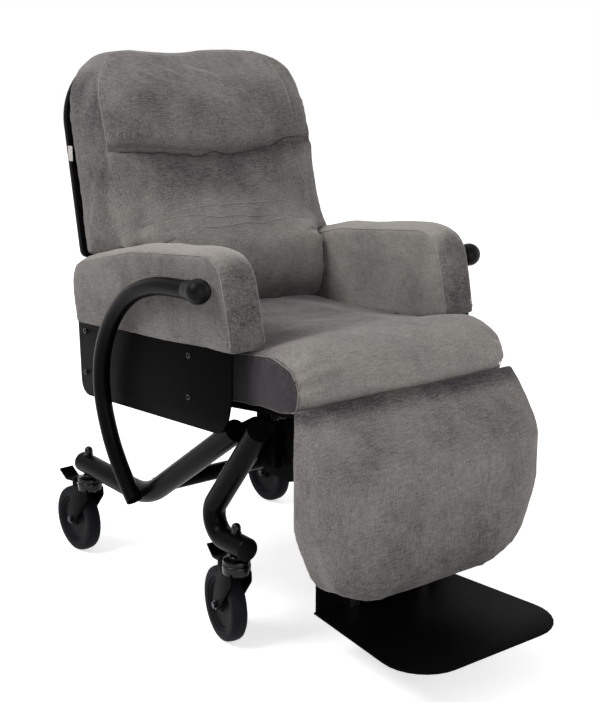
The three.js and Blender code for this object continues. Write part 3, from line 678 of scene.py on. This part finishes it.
def build_shafts():
    chamfer = 0.001
    for pivot, body in (("tilt", "base"), ("recline", "seat"), ("legrest", "seat")):
        shaft = pivot + "_pivot_shaft"
        low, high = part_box(shaft)
        centre, radius, half = (low + high) / 2, (high.z - low.z) / 2, (high.x - low.x) / 2
        left_end = [(0, -half), (radius - chamfer, -half), (radius, chamfer - half)]
        right_end = [(radius, half - chamfer), (radius - chamfer, half), (0, half)]
        round_bar = moved(turned(left_end + right_end, "X", 32), Matrix.Translation(centre))
        piece(shaft + "_bar", round_bar, body, *ROD_STEEL, [shaft])


def bar_profile(radius, start, end, bore=0):
    """A plain bar or, with a bore, a ring, from its start to its end."""
    return [(bore, start), (radius, start), (radius, end), (bore, end)] + [(bore, start)] * bool(bore)


def strut_eye(bore, radius):
    """The round eye at the end of a strut, 14 mm wide, across it."""
    half = 0.007
    return turned(bar_profile(radius, -half, half, bore), "X", 32)


def build_struts():
    """Each gas strut: an enamelled barrel, a bright rod and an eye at each end."""
    for strut, length in (("tilt", 0.150), ("recline", 0.170)):
        foot = joint_at(strut + "_strut_swing")
        way = Vector(JOINTS[strut + "_strut_stroke"]["axis"])
        low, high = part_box(strut + "_strut_rod")
        stand = Matrix.Translation(foot) @ aimed(way)
        far = stand.inverted() @ Vector((foot.x, *(high.yz if way.y > 0 else (low.y, high.z))))
        reach = far.z - 0.011
        mouth = [(0.0056, length - 0.03), (0.0056, length), (0.0098, length), (0.011, length - 0.003)]
        tail = [(0.011, 0.022), (0.0085, 0.018), (0.006, 0.016), (0.006, 0.006), (0, 0.006)]
        barrel = moved(joined(turned(mouth + tail, "Z", 36), strut_eye(0.0048, 0.009)), stand)
        cylinder = strut + "_strut_cylinder"
        piece(strut + "_strut_barrel", barrel, cylinder, *TUBE, [cylinder])
        bar = bar_profile(0.005, length - 0.04, reach - 0.010)
        far_eye = moved(strut_eye(0.007, 0.011), Matrix.Translation((0, 0, reach)))
        shaft, rod = moved(joined(turned(bar, "Z", 28), far_eye), stand), strut + "_strut_rod"
        piece(strut + "_strut_shaft", shaft, rod, *ROD_STEEL, [rod])


# ------------------------------------------------------------------ cushions
def settled_mesh(obj):
    """The mesh that an object's modifiers give it now."""
    made = bpy.data.meshes.new_from_object(obj.evaluated_get(bpy.context.evaluated_depsgraph_get()))
    obj.modifiers.clear()
    obj.data = made


def remeshed(obj, voxel):
    step = obj.modifiers.new("even_mesh", "REMESH")
    step.mode = "VOXEL"
    step.voxel_size = voxel
    settled_mesh(obj)


def positions(obj):
    co = np.empty(len(obj.data.vertices) * 3)
    obj.data.vertices.foreach_get("co", co)
    return co.reshape(-1, 3)


def normals(obj):
    found = np.empty(len(obj.data.vertices) * 3, np.float32)
    obj.data.vertices.foreach_get("normal", found)
    return found.reshape(-1, 3).astype(float)


def set_positions(obj, co):
    obj.data.vertices.foreach_set("co", co.astype(np.float32).ravel())
    obj.data.update()


def softened(obj, passes):
    """Relaxes the cover evenly, so that its corners turn round."""
    bm = bmesh.new()
    bm.from_mesh(obj.data)
    axes = {"use_axis_x": True, "use_axis_y": True, "use_axis_z": True}
    for _ in range(passes):
        bmesh.ops.smooth_vert(bm, verts=bm.verts, factor=0.5, **axes)
    bm.to_mesh(obj.data)
    bm.free()


def near(path, co, reach):
    """For each vertex, its distance to the path and how far along that is; far ones read twice the reach."""
    samples = [path[0]]
    for a, b in zip(path, path[1:]):
        count = max(1, round((b - a).length / 0.003))
        samples += [a.lerp(b, (k + 1) / count) for k in range(count)]
    along = np.concatenate([[0], np.cumsum([(b - a).length for a, b in zip(samples, samples[1:])])])
    tree = kdtree.KDTree(len(samples))
    for i, point in enumerate(samples):
        tree.insert(point, i)
    tree.balance()
    low = np.min([list(p) for p in samples], axis=0) - reach
    high = np.max([list(p) for p in samples], axis=0) + reach
    distance = np.full(len(co), reach * 2)
    place = np.zeros(len(co))
    for i in np.nonzero(np.all((co > low) & (co < high), axis=1))[0]:
        _, index, far = tree.find(co[i])
        distance[i], place[i] = far, along[index]
    return distance, place


def filled(obj, held, pressure, cap, frames=20):
    """Fills the cover by cloth simulation: `held` vertices are sewn down, and none moves further than cap."""
    rest = positions(obj)
    sewn = obj.vertex_groups.new(name="sewn_down")
    sewn.add([int(i) for i in np.nonzero(held)[0]], 1.0, "REPLACE")
    cloth = obj.modifiers.new("filling", "CLOTH")
    cloth.settings.quality = 4
    cloth.settings.vertex_group_mass = sewn.name
    cloth.settings.use_pressure = True
    cloth.settings.uniform_pressure_force = pressure
    cloth.settings.effector_weights.gravity = 0
    cloth.point_cache.frame_start = 1
    cloth.point_cache.frame_end = frames
    for frame_number in range(1, frames + 1):
        SCENE.frame_set(frame_number)
    settled_mesh(obj)
    SCENE.frame_set(1)
    shift = positions(obj) - rest
    length = np.linalg.norm(shift, axis=1, keepdims=True)
    shift *= np.minimum(1, cap / np.maximum(length, 1e-9))
    set_positions(obj, rest + shift)


def pressed_seam(obj, path, depth, width):
    """Draws the cloth in along a seam."""
    distance, _ = near(path, positions(obj), width * 3)
    plumped(obj, -depth * np.exp(-((distance / width) ** 2)))


def gathered(obj, path, reach, pitch, height, seed):
    """Little tucks that run off a seam and fade."""
    distance, place = near(path, positions(obj), reach * 2)
    lift = np.zeros(len(distance))
    for i in np.nonzero(distance < reach * 2)[0]:
        tuck = noise.noise(Vector((place[i] / pitch, distance[i] / (pitch * 5), seed)))
        lift[i] = height * tuck * math.exp(-((distance[i] / reach) ** 2))
    plumped(obj, lift)


def sewn_seam(obj, path, depth, width, reach, pitch, height, seed):
    """A seam drawn into the cover, with the tucks that run off it."""
    pressed_seam(obj, path, depth, width)
    gathered(obj, path, reach, pitch, height, seed)


def rumpled(obj, size, height, seed):
    """Slow hollows and swells of a cover that has been sat on."""
    spots = [Vector(c) / size + Vector((seed, seed, seed)) for c in positions(obj)]
    plumped(obj, height * np.array([noise.fractal(spot, 0.8, 2.0, 3) for spot in spots]))


def dragged(obj, start, end, width, height):
    """One soft fold that the filling drags across the cover from start to end, highest half way."""
    co = positions(obj)
    way = end - start
    along = (co - np.array(start)) @ np.array(way) / way.length_squared
    spot = np.array(start) + np.clip(along, 0, 1)[:, None] * np.array(way)
    distance = np.linalg.norm(co - spot, axis=1)
    fade = np.clip(np.sin(np.pi * np.clip(along * 0.85 + 0.15, 0, 1)), 0, 1)
    wave = np.exp(-((distance / width) ** 2)) - 0.6 * np.exp(-(((distance - 1.6 * width) / width) ** 2))
    plumped(obj, height * fade * wave)


def laid_on(obj, path, lift=SKIN_LIFT):
    """The path brought onto the nearest cloth, and lifted a little off it."""
    tree = BVHTree.FromObject(obj, bpy.context.evaluated_depsgraph_get())
    found = [tree.find_nearest(point) for point in path]
    return [spot + normal * lift for spot, normal, _, _ in found]


def seam_cord(name, obj, path, body, radius, cloth=SEAM_CLOTH):
    """The folded cloth edge of a seam, as a fine cord half sunk in the cover."""
    laid = laid_on(obj, path)
    for _ in range(3):
        laid = [laid[0]] + [(a + b * 2 + c) / 4 for a, b, c in zip(laid, laid[1:], laid[2:])] + [laid[-1]]
    return piece(name, walked_ring(laid, radius, 8), body, "upholstery", cloth)


def divided(path, spacing=0.008):
    """A route with points no further apart than the spacing."""
    points = [path[0]]
    for a, b in zip(path, path[1:]):
        count = max(1, math.ceil((b - a).length / spacing))
        points += [a.lerp(b, (k + 1) / count) for k in range(count)]
    return points


def side_outline(node_name, side):
    """The outline of a cushion's flat side face, as points in order."""
    bm = merged_copy(node_name)
    flats = [f for f in bm.faces if f.normal.x * side > 0.999]
    face = max(flats, key=lambda f: f.calc_area())
    points = [v.co.copy() for v in face.verts]
    bm.free()
    return points


def between(points, test):
    """The longest run of consecutive points, round a closed outline, that passes the test."""
    doubled = divided(points + points[:1], 0.01)[:-1] * 2
    best, run = [], []
    for point in doubled:
        run = run + [point] if test(point) else []
        if len(best) < len(run) <= len(doubled) // 2:
            best = run
    return best


def corner_chains(node_name, keep, degrees=50):
    """The sharp corners of a cushion's solid, where its panels meet, as chains of points, longest first."""
    bm = merged_copy(node_name)
    bm.verts.index_update()
    links = {}
    for edge in sharp_edges(bm, degrees):
        a, b = edge.verts
        if keep(a.co) and keep(b.co):
            links.setdefault(a.index, []).append(b.index)
            links.setdefault(b.index, []).append(a.index)
    spots = {v.index: v.co.copy() for v in bm.verts if v.index in links}
    bm.free()
    chains, used = [], set()
    for start in sorted(links, key=lambda i: (len(links[i]) == 2, i)):
        for step in links[start]:
            chain, here = [start], step
            while (chain[-1], here) not in used:
                used |= {(chain[-1], here), (here, chain[-1])}
                chain.append(here)
                if len(links[here]) != 2:
                    break
                here = next(i for i in links[here] if i != chain[-2])
            if len(chain) > 1:
                chains.append([spots[i] for i in chain])
    return sorted(chains, key=lambda c: -sum((b - a).length for a, b in zip(c, c[1:])))


def hump(value, centre, reach):
    """1 at the centre, falling smoothly to 0 at the reach on either side."""
    return np.cos(np.clip(np.abs(value - centre) / reach, 0, 1) * math.pi / 2) ** 2


def ramp(value, start, end):
    """0 up to the start, 1 from the end on, smooth between; the end may be the lower of the two."""
    share = np.clip((value - start) / (end - start), 0, 1)
    return share * share * (3 - 2 * share)


def plumped(obj, rise):
    """Pushes the vertices out along their normals, by one rise or by one each."""
    set_positions(obj, positions(obj) + normals(obj) * np.reshape(rise, (-1, 1)))


def facing(obj, way):
    """How squarely each vertex faces a direction, from 0 to 1."""
    return np.clip(normals(obj) @ np.array(way, float), 0, 1)


def sideways(obj):
    return ramp(np.abs(normals(obj)[:, 0]), 0.72, 0.95)


def cover(name, obj, body, stands_for, painted_light_and_nap_level):
    """Finishes a cushion's cover: a per-vertex level of painted light and shade, which also holds some nap
    direction, its body and the solid it stands for.
    """
    obj.name = name
    obj.data.materials.clear()
    obj.data.materials.append(UPHOLSTERY)
    obj.data.shade_smooth()
    # the per-vertex level of painted light and shade, stored for the upholstery shader
    nap_and_painted_light = obj.data.attributes.new("nap_and_painted_light", "FLOAT", "POINT")
    nap_and_painted_light.data.foreach_set("value", (np.zeros(len(obj.data.vertices)) + painted_light_and_nap_level).astype(np.float32))
    fine = obj.modifiers.new("fine", "SUBSURF")
    fine.levels = fine.render_levels = 1
    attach(obj, body)
    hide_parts(stands_for)


def cushion_form(node_name, voxel, passes, shrink):
    """An even mesh of a cushion's solid, its corners softened, a little under size."""
    obj = object_from(node_name + "_work", merged_copy(node_name))
    remeshed(obj, voxel)
    softened(obj, passes)
    plumped(obj, -shrink)
    return obj


def close_to(obj, paths, reach):
    """Which vertices lie within reach of any of the paths."""
    co = positions(obj)
    return np.any([near(path, co, reach * 2)[0] < reach for path in paths], axis=0)


def blended_front(obj, foot_z, top_z, on_front):
    """Fills the step between the lumbar part and the upper part, so that the front is one slow curve."""
    height = top_z - foot_z
    foot_y, top_y = on_front(0, foot_z).y, on_front(0, top_z).y
    rise = (top_y - on_front(0, top_z - 0.03).y) / 0.03 * height
    co = positions(obj)
    x, y, z = co.T
    share = np.clip((z - foot_z) / height, 0, 1)
    curve = foot_y + (top_y - foot_y) * (3 - 2 * share) * share**2 + rise * (share - 1) * share**2
    face = (normals(obj)[:, 1] < -0.3) & (share > 0) & (share < 1) & (y < top_y + 0.02)
    y += (curve - y) * face * ramp(0.219 - np.abs(x), 0.0, 0.035)
    set_positions(obj, co)
    softened(obj, 2)


def build_back_cushion():
    node_name = "back_cushion"
    low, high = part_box(node_name)
    half = high.x
    obj = cushion_form(node_name, VOXEL, 3, 0.002)
    tree = BVHTree.FromObject(obj, bpy.context.evaluated_depsgraph_get())

    def on_front(x, z):
        return tree.ray_cast(Vector((x, low.y - 0.3, z)), Vector((0, 1, 0)))[0]

    shoulder = low.z + 0.155
    edges = corner_chains(node_name, lambda p: p.z > shoulder and p.y < high.y - 0.07)
    right, left = sorted(edges[:2], key=lambda c: c[0].x)
    right, left = (sorted(chain, key=lambda p: p.z) for chain in (right, left))
    across = np.linspace(right[-1].x + 0.03, left[-1].x - 0.03, 12)
    crown = [Vector((x, right[-1].y + 0.01, high.z - 0.004)) for x in across]
    outline = divided(right + crown + left[::-1])
    channel_z, sag = high.z - 0.196, 0.020
    for point in outline:
        point.y += 0.042 * float(ramp(point.z, channel_z, shoulder))
    spread = np.linspace(-half + 0.006, half - 0.006, 60)
    channel = [on_front(x, channel_z - sag * math.cos(x / half * math.pi / 2) ** 2) for x in spread]
    flanks = corner_chains(node_name, lambda p: p.z < shoulder + 0.03 and abs(p.x) < half - 0.03)[:4]
    blended_front(obj, shoulder - 0.045, channel_z - 0.035, on_front)
    rear = normals(obj)[:, 1] > 0.75
    filled(obj, close_to(obj, [outline, channel, *flanks], SEWN) | rear, 20.0, 0.030)
    softened(obj, 2)
    co = positions(obj)
    x, y, z = co.T
    snug = ramp(z, shoulder + 0.05, shoulder - 0.02) * ramp(y, low.y + 0.10, low.y + 0.05)
    x += np.sign(x) * 0.0045 * snug * ramp(np.abs(x), 0.15, 0.2)
    y -= 0.008 * snug * ramp(z, low.z, low.z + 0.05)
    z -= 0.008 * hump(x, -0.02, 0.13) * ramp(z, high.z - 0.08, high.z - 0.01)
    z -= 0.005 * ramp(z, low.z + 0.03, low.z)
    set_positions(obj, co)
    over = z - (channel_z - sag * np.cos(np.clip(x / half, -1, 1) * math.pi / 2) ** 2)
    from_edge = half - np.abs(x)
    inside = ramp(from_edge, 0.0, 0.07) * facing(obj, FORWARD)
    pillow = 0.014 * ramp(over, 0.0, 0.03) * ramp(over, 0.215, 0.09)
    recess = -0.006 * ramp(over, 0.004, -0.004) * ramp(over, -0.075, -0.012)
    lumbar = 0.008 * hump(z, low.z + 0.14, 0.13)
    plumped(obj, (pillow + recess + lumbar) * inside)
    gathered(obj, channel, 0.034, 0.015, 0.0032, 3.0)
    rumpled(obj, 0.12, 0.0030, 1.5)
    pressed_seam(obj, channel, 0.015, 0.0062)
    sewn_seam(obj, outline, 0.0024, 0.005, 0.026, 0.011, 0.0022, 5.0)
    for offset, drop in ((-0.02, 0.05), (0.05, 0.075), (0.12, 0.06)):
        start = on_front(-half * 0.55 + offset, high.z - 0.035)
        end = on_front(-half * 0.1 + offset * 1.4, high.z - 0.05 - drop)
        dragged(obj, start, end, 0.009, 0.0035)
    # painted shade: darker in the recess under the upper pillow's overhang and in the channel crease, and a
    # little darker across the upper pillow
    painted_shade = 0.30 * ramp(over, 0.006, -0.006) * ramp(over, -0.13, -0.02) * ramp(from_edge, 0.0, 0.12)
    in_channel = np.exp(-((near(channel, positions(obj), 0.02)[0] / 0.0045) ** 2))
    painted_shade += 0.5 * in_channel + 0.10 * ramp(over, 0.0, 0.05)
    # painted shade and light: darker on the sides, paler over the lumbar swell
    painted_light_and_nap_level = 1.0 - 0.26 * sideways(obj) - painted_shade + 0.16 * hump(z, low.z + 0.13, 0.13)
    cover("back_cushion_cover", obj, "back", node_name, painted_light_and_nap_level)
    seam_cord("back_front_seam", obj, outline, "back", 0.0008)
    # the channel seam's cord, in near-black cloth, is painted shadow along the crease
    seam_cord("back_channel_shadow_cord", obj, channel[3:-3], "back", 0.0012, CREASE_SHADOW_CLOTH)


def build_seat_cushion():
    node_name = "seat_cushion"
    low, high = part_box(node_name)
    obj = cushion_form(node_name, VOXEL, 3, 0.002)
    seams = {}
    for name, side in SIDES.items():
        outline = side_outline(node_name, side)
        seams[name] = between(outline, lambda p: p.z > low.z + 0.11 or p.y < low.y + 0.03)
    bottom = normals(obj)[:, 2] < -0.7
    filled(obj, close_to(obj, seams.values(), SEWN) | bottom, 20.0, 0.026)
    softened(obj, 1)
    x, y, z = positions(obj).T
    inside = ramp(high.x - np.abs(x), -0.01, 0.04) * (1 - sideways(obj))
    foot = min(p.z for p in seams["left"] if p.y < low.y + 0.03)
    roll = 0.019 * ramp(y, low.y + 0.15, low.y + 0.05) * ramp(z, foot + 0.002, foot + 0.035)
    rear = 0.007 * ramp(y, high.y - 0.2, high.y - 0.05) * facing(obj, UP)
    plumped(obj, (roll + rear) * inside)
    rumpled(obj, 0.13, 0.003, 4.5)
    for name, path in seams.items():
        sewn_seam(obj, path, 0.002, 0.005, 0.034, 0.012, 0.0036, 7.0)
        corner = [p for p in path if p.y < low.y + 0.07]
        gathered(obj, corner, 0.075, 0.020, 0.0050, 23.0)
    folds = ((0.022, 0.11, 0.030), (0.040, 0.13, 0.058), (0.060, 0.10, 0.088))
    for side in SIDES.values():
        for start_up, inward, end_up in folds:
            start = Vector((side * high.x, low.y - 0.004, foot + start_up))
            end = Vector((side * (high.x - inward), low.y - 0.018, foot + end_up))
            dragged(obj, *laid_on(obj, [start, end]), 0.0085, 0.0042)
    dropped_edge(obj, foot, low.y + 0.06)
    x, y, z = positions(obj).T
    # painted shade and light: the top darker behind the front roll, more so beside the arms and before the
    # back, where their shadows fall; the side boxing darker, partly nap and partly painted shade under the
    # armrests; the front roll paler where light falls, and darker along its lower edge
    shaded_top = ramp(y, low.y + 0.10, low.y + 0.20)
    shade_by_back = ramp(y, high.y - 0.22, high.y - 0.08)
    shade_by_arms = shaded_top * ramp(np.abs(x), 0.09, 0.21) + 0.5 * shade_by_back
    front_roll = ramp(y, low.y + 0.13, low.y + 0.03) * (1 - sideways(obj))
    under = 0.25 * ramp(z, foot + 0.03, foot) * front_roll
    painted_light_and_nap_level = 0.88 - 0.5 * sideways(obj) - 0.14 * shaded_top - 0.26 * shade_by_arms + 0.32 * front_roll - under
    cover("seat_cushion_cover", obj, "seat", node_name, painted_light_and_nap_level)
    for name, path in seams.items():
        seam_cord("seat_seam_" + name, obj, path, "seat", SEAM)


def dropped_edge(obj, foot, front):
    """Brings the lower front edge of the seat cover down onto the pan."""
    co = positions(obj)
    _, y, z = co.T
    z -= 0.005 * ramp(z, foot + 0.03, foot) * ramp(y, front + 0.05, front)
    set_positions(obj, co)


def build_armrests():
    for name, side in SIDES.items():
        node_name = "armrest_" + name
        low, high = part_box(node_name)
        outer, inner = (high.x, low.x) if side > 0 else (low.x, high.x)
        obj = cushion_form(node_name, FINE_VOXEL, 3, 0.0012)
        outline = side_outline(node_name, side)
        front_foot = min(outline, key=lambda p: p.y + p.z)
        back_foot = min(outline, key=lambda p: p.z - p.y)
        along = (back_foot - front_foot).normalized()
        down = np.array((0, along.z, -along.y))
        faces = {}
        for face, x in (("outer", outer), ("inner", inner)):
            edge = [Vector((x, p.y, p.z)) for p in outline]
            faces[face] = between(edge, lambda p: p.z > front_foot.z + 0.004)
        hem = normals(obj)[:, 2] < -0.7
        filled(obj, close_to(obj, faces.values(), 0.006) | hem, 12.0, 0.012)
        softened(obj, 1)
        across = hump(positions(obj)[:, 0], (outer + inner) / 2, abs(outer - inner) / 2)
        plumped(obj, 0.011 * across**0.7 * ramp(facing(obj, UP), 0.3, 0.9))
        rumpled(obj, 0.12, 0.0024, 9.0 + side)
        for face, path in faces.items():
            sewn_seam(obj, path, 0.0018, 0.0045, 0.020, 0.012, 0.0015, 11.0)
        rise, inset = Vector((0, 0, HEM)), 0.004
        hem_start = Vector((outer, front_foot.y + inset, front_foot.z)) + rise
        hem_line = divided([hem_start, Vector((outer, back_foot.y - inset, back_foot.z)) + rise])
        pressed_seam(obj, hem_line, 0.0008, 0.003)
        co = positions(obj)
        x, y, _ = co.T
        height = (np.array(front_foot) - co) @ down
        tuck = 0.009 * ramp(np.abs(x), 0.255, 0.225)
        tuck *= ramp(y, front_foot.y + 0.01, front_foot.y + 0.1)
        co += down * ((0.0055 + tuck) * ramp(height, HEM, 0.0))[:, None]
        set_positions(obj, co)
        for face, path in faces.items():
            seam_cord(f"armrest_{face}_seam_{name}", obj, path, "seat", SEAM)
        seam_cord("armrest_hem_stitch_" + name, obj, hem_line, "seat", 0.0006)
        # painted light and shade: paler on the top, and on the left arm's face turned to -X, where light
        # falls; darker on the front
        painted_light_and_nap_level = 0.98 + 0.55 * facing(obj, UP) ** 2 - 0.20 * facing(obj, FORWARD)
        painted_light_and_nap_level += 0.2 * facing(obj, (-1, 0, 0)) * (side > 0)
        cover("armrest_cover_" + name, obj, "seat", node_name, painted_light_and_nap_level)


def tucked_under(obj, low, high):
    """Slopes the top of the pad back to a thin edge, close under the front of the seat cushion."""
    start = high.z - 0.105
    co = positions(obj)
    x, y, z = co.T
    past = np.clip(np.abs(x) - PAD_TOP_HALF_WIDTH, 0, PAD_CORNER * 0.9)
    top = z.max() - (PAD_CORNER - np.sqrt(PAD_CORNER**2 - past**2))
    share = np.clip((z - start) / (top - start), 0, 1)
    z[:] = np.where(share > 0, start + share * (high.z + 0.014 - start), z)
    depth = high.y - low.y
    back = (y - low.y) / depth
    front = low.y + share**1.3 * (depth - 0.003)
    y[:] = front + back * (high.y + 0.014 * share**2 - front)
    set_positions(obj, co)


def build_legrest_pad():
    node_name = "legrest_pad"
    low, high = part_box(node_name)
    obj = cushion_form(node_name, VOXEL, 6, 0.001)
    _, y, z = positions(obj).T
    behind = normals(obj)[:, 1] > 0.6
    tucked = (z > high.z - 0.012) & (y > low.y + 0.03)
    filled(obj, behind | tucked, 4.0, 0.008)
    softened(obj, 3)
    tucked_under(obj, low, high)
    rumpled(obj, 0.20, 0.0018, 13.0)
    across = np.linspace(-0.25, 0.25, 40)
    crease = [Vector((x, low.y - 0.01, high.z - 0.085 - 0.006 * math.sin(x * 9))) for x in across]
    crease = laid_on(obj, crease, 0.0)
    sewn_seam(obj, crease, 0.0032, 0.014, 0.03, 0.045, 0.0018, 17.0)
    for side in SIDES.values():
        outwards = np.linspace(0.12, 0.235, 24)
        foot = [Vector((side * x, (low.y + high.y) / 2, low.z + 0.01)) for x in outwards]
        gathered(obj, foot, 0.055, 0.014, 0.0024, 19.0)
    z = positions(obj)[:, 2]
    # painted shade: darker along the top edge, in the shadow under the seat's front roll, and darker towards
    # the bottom
    shade_under_seat_roll = ramp(z, high.z - 0.018, high.z + 0.008)
    painted_light_and_nap_level = 1.0 - 0.22 * ramp(z, low.z + 0.14, low.z) - 0.4 * shade_under_seat_roll
    cover("legrest_pad_cover", obj, "legrest_carriage", node_name, painted_light_and_nap_level)


# ------------------------------------------------------------------ studio
def build_studio():
    camera = linked("camera", bpy.data.cameras.new("camera"))
    SCENE.camera = camera
    camera.location = CAMERA_AT
    camera.rotation_euler = (math.radians(90 - CAMERA_DIP), 0, math.radians(-CAMERA_TURN))
    camera.data.lens = CAMERA_LENS
    camera.data.sensor_width = 36
    SCENE.view_settings.view_transform = "Standard"
    floor_sheet()
    world_light()
    soft_box("key_light", (-2.3, 0.5, 3.1), (0, 0, 0.7), 1.7, 92)
    soft_box("front_light", (-0.6, -3.8, 1.3), (0, 0, 0.6), 2.6, 56)
    soft_box("fill_light", (3.0, -1.6, 1.6), (0, 0, 0.5), 2.4, 24)
    soft_box("top_light", (0.0, 0.5, 3.2), (0, 0, 0.6), 2.4, 18)


def soft_box(name, at, aim, size, power):
    data = bpy.data.lights.new(name, "AREA")
    data.size = size
    data.energy = power
    lamp = linked(name, data)
    lamp.location = at
    lamp.rotation_euler = (Vector(aim) - Vector(at)).to_track_quat("-Z", "Y").to_euler()


def white_to_eyes(tree):
    """1 where the camera, a mirror or a clear piece looks straight at the surface, else 0."""
    path = node(tree, "ShaderNodeLightPath").outputs
    seen = math_node(tree, "MAXIMUM", path["Is Camera Ray"], path["Is Glossy Ray"])
    return math_node(tree, "MAXIMUM", seen, path["Is Transmission Ray"])


def world_light():
    world = bpy.data.worlds.new("studio")
    SCENE.world = world
    world.use_nodes = True
    tree = world.node_tree
    strength = ranged(tree, white_to_eyes(tree), 0.0, 1.0, 0.32)
    feed(tree, tree.nodes["Background"], {"Color": (1, 1, 1, 1), "Strength": strength})


def floor_sheet():
    bm = bmesh.new()
    bmesh.ops.create_grid(bm, x_segments=2, y_segments=2, size=14)
    floor = object_from("floor", bm)
    plain = {"Base Color": (0.93, 0.93, 0.93, 1), "Roughness": 0.9, "Specular IOR Level": 0.1}
    material, tree, shader = surface("studio_floor", {**plain, "Emission Color": (1, 1, 1, 1)})
    place = node(tree, "ShaderNodeTexCoord").outputs["Object"]
    out = node(tree, "ShaderNodeVectorMath", {0: place}, operation="LENGTH").outputs["Value"]
    glow = math_node(tree, "MULTIPLY", white_to_eyes(tree), ranged(tree, out, 0.8, 3.5, 0.62))
    feed(tree, shader, {"Emission Strength": glow})
    floor.data.materials.append(material)


def build_tag():
    """A plain woven tag sewn into the join of shell and cushion."""
    low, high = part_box("back_shell")
    at = Vector((low.x, high.y - 0.055, high.z - 0.205))
    wide, tall, corner = 0.010, 0.016, 0.002
    corners = [(-wide, -tall, corner), (wide, -tall, corner), (wide, tall, corner), (-wide, tall, corner)]
    outline = rounded(corners, 30)
    label = cut_plate(outline, 0.0009, on_edge(at.x - 0.0012, at.y, at.z), 0.0002)
    piece("woven_tag", label, "back", "upholstery", TAG_CLOTH)


build_studio()
build_base()
build_casters()
build_hardware()
build_back_cushion()
build_seat_cushion()
build_armrests()
build_legrest_pad()
build_tag()
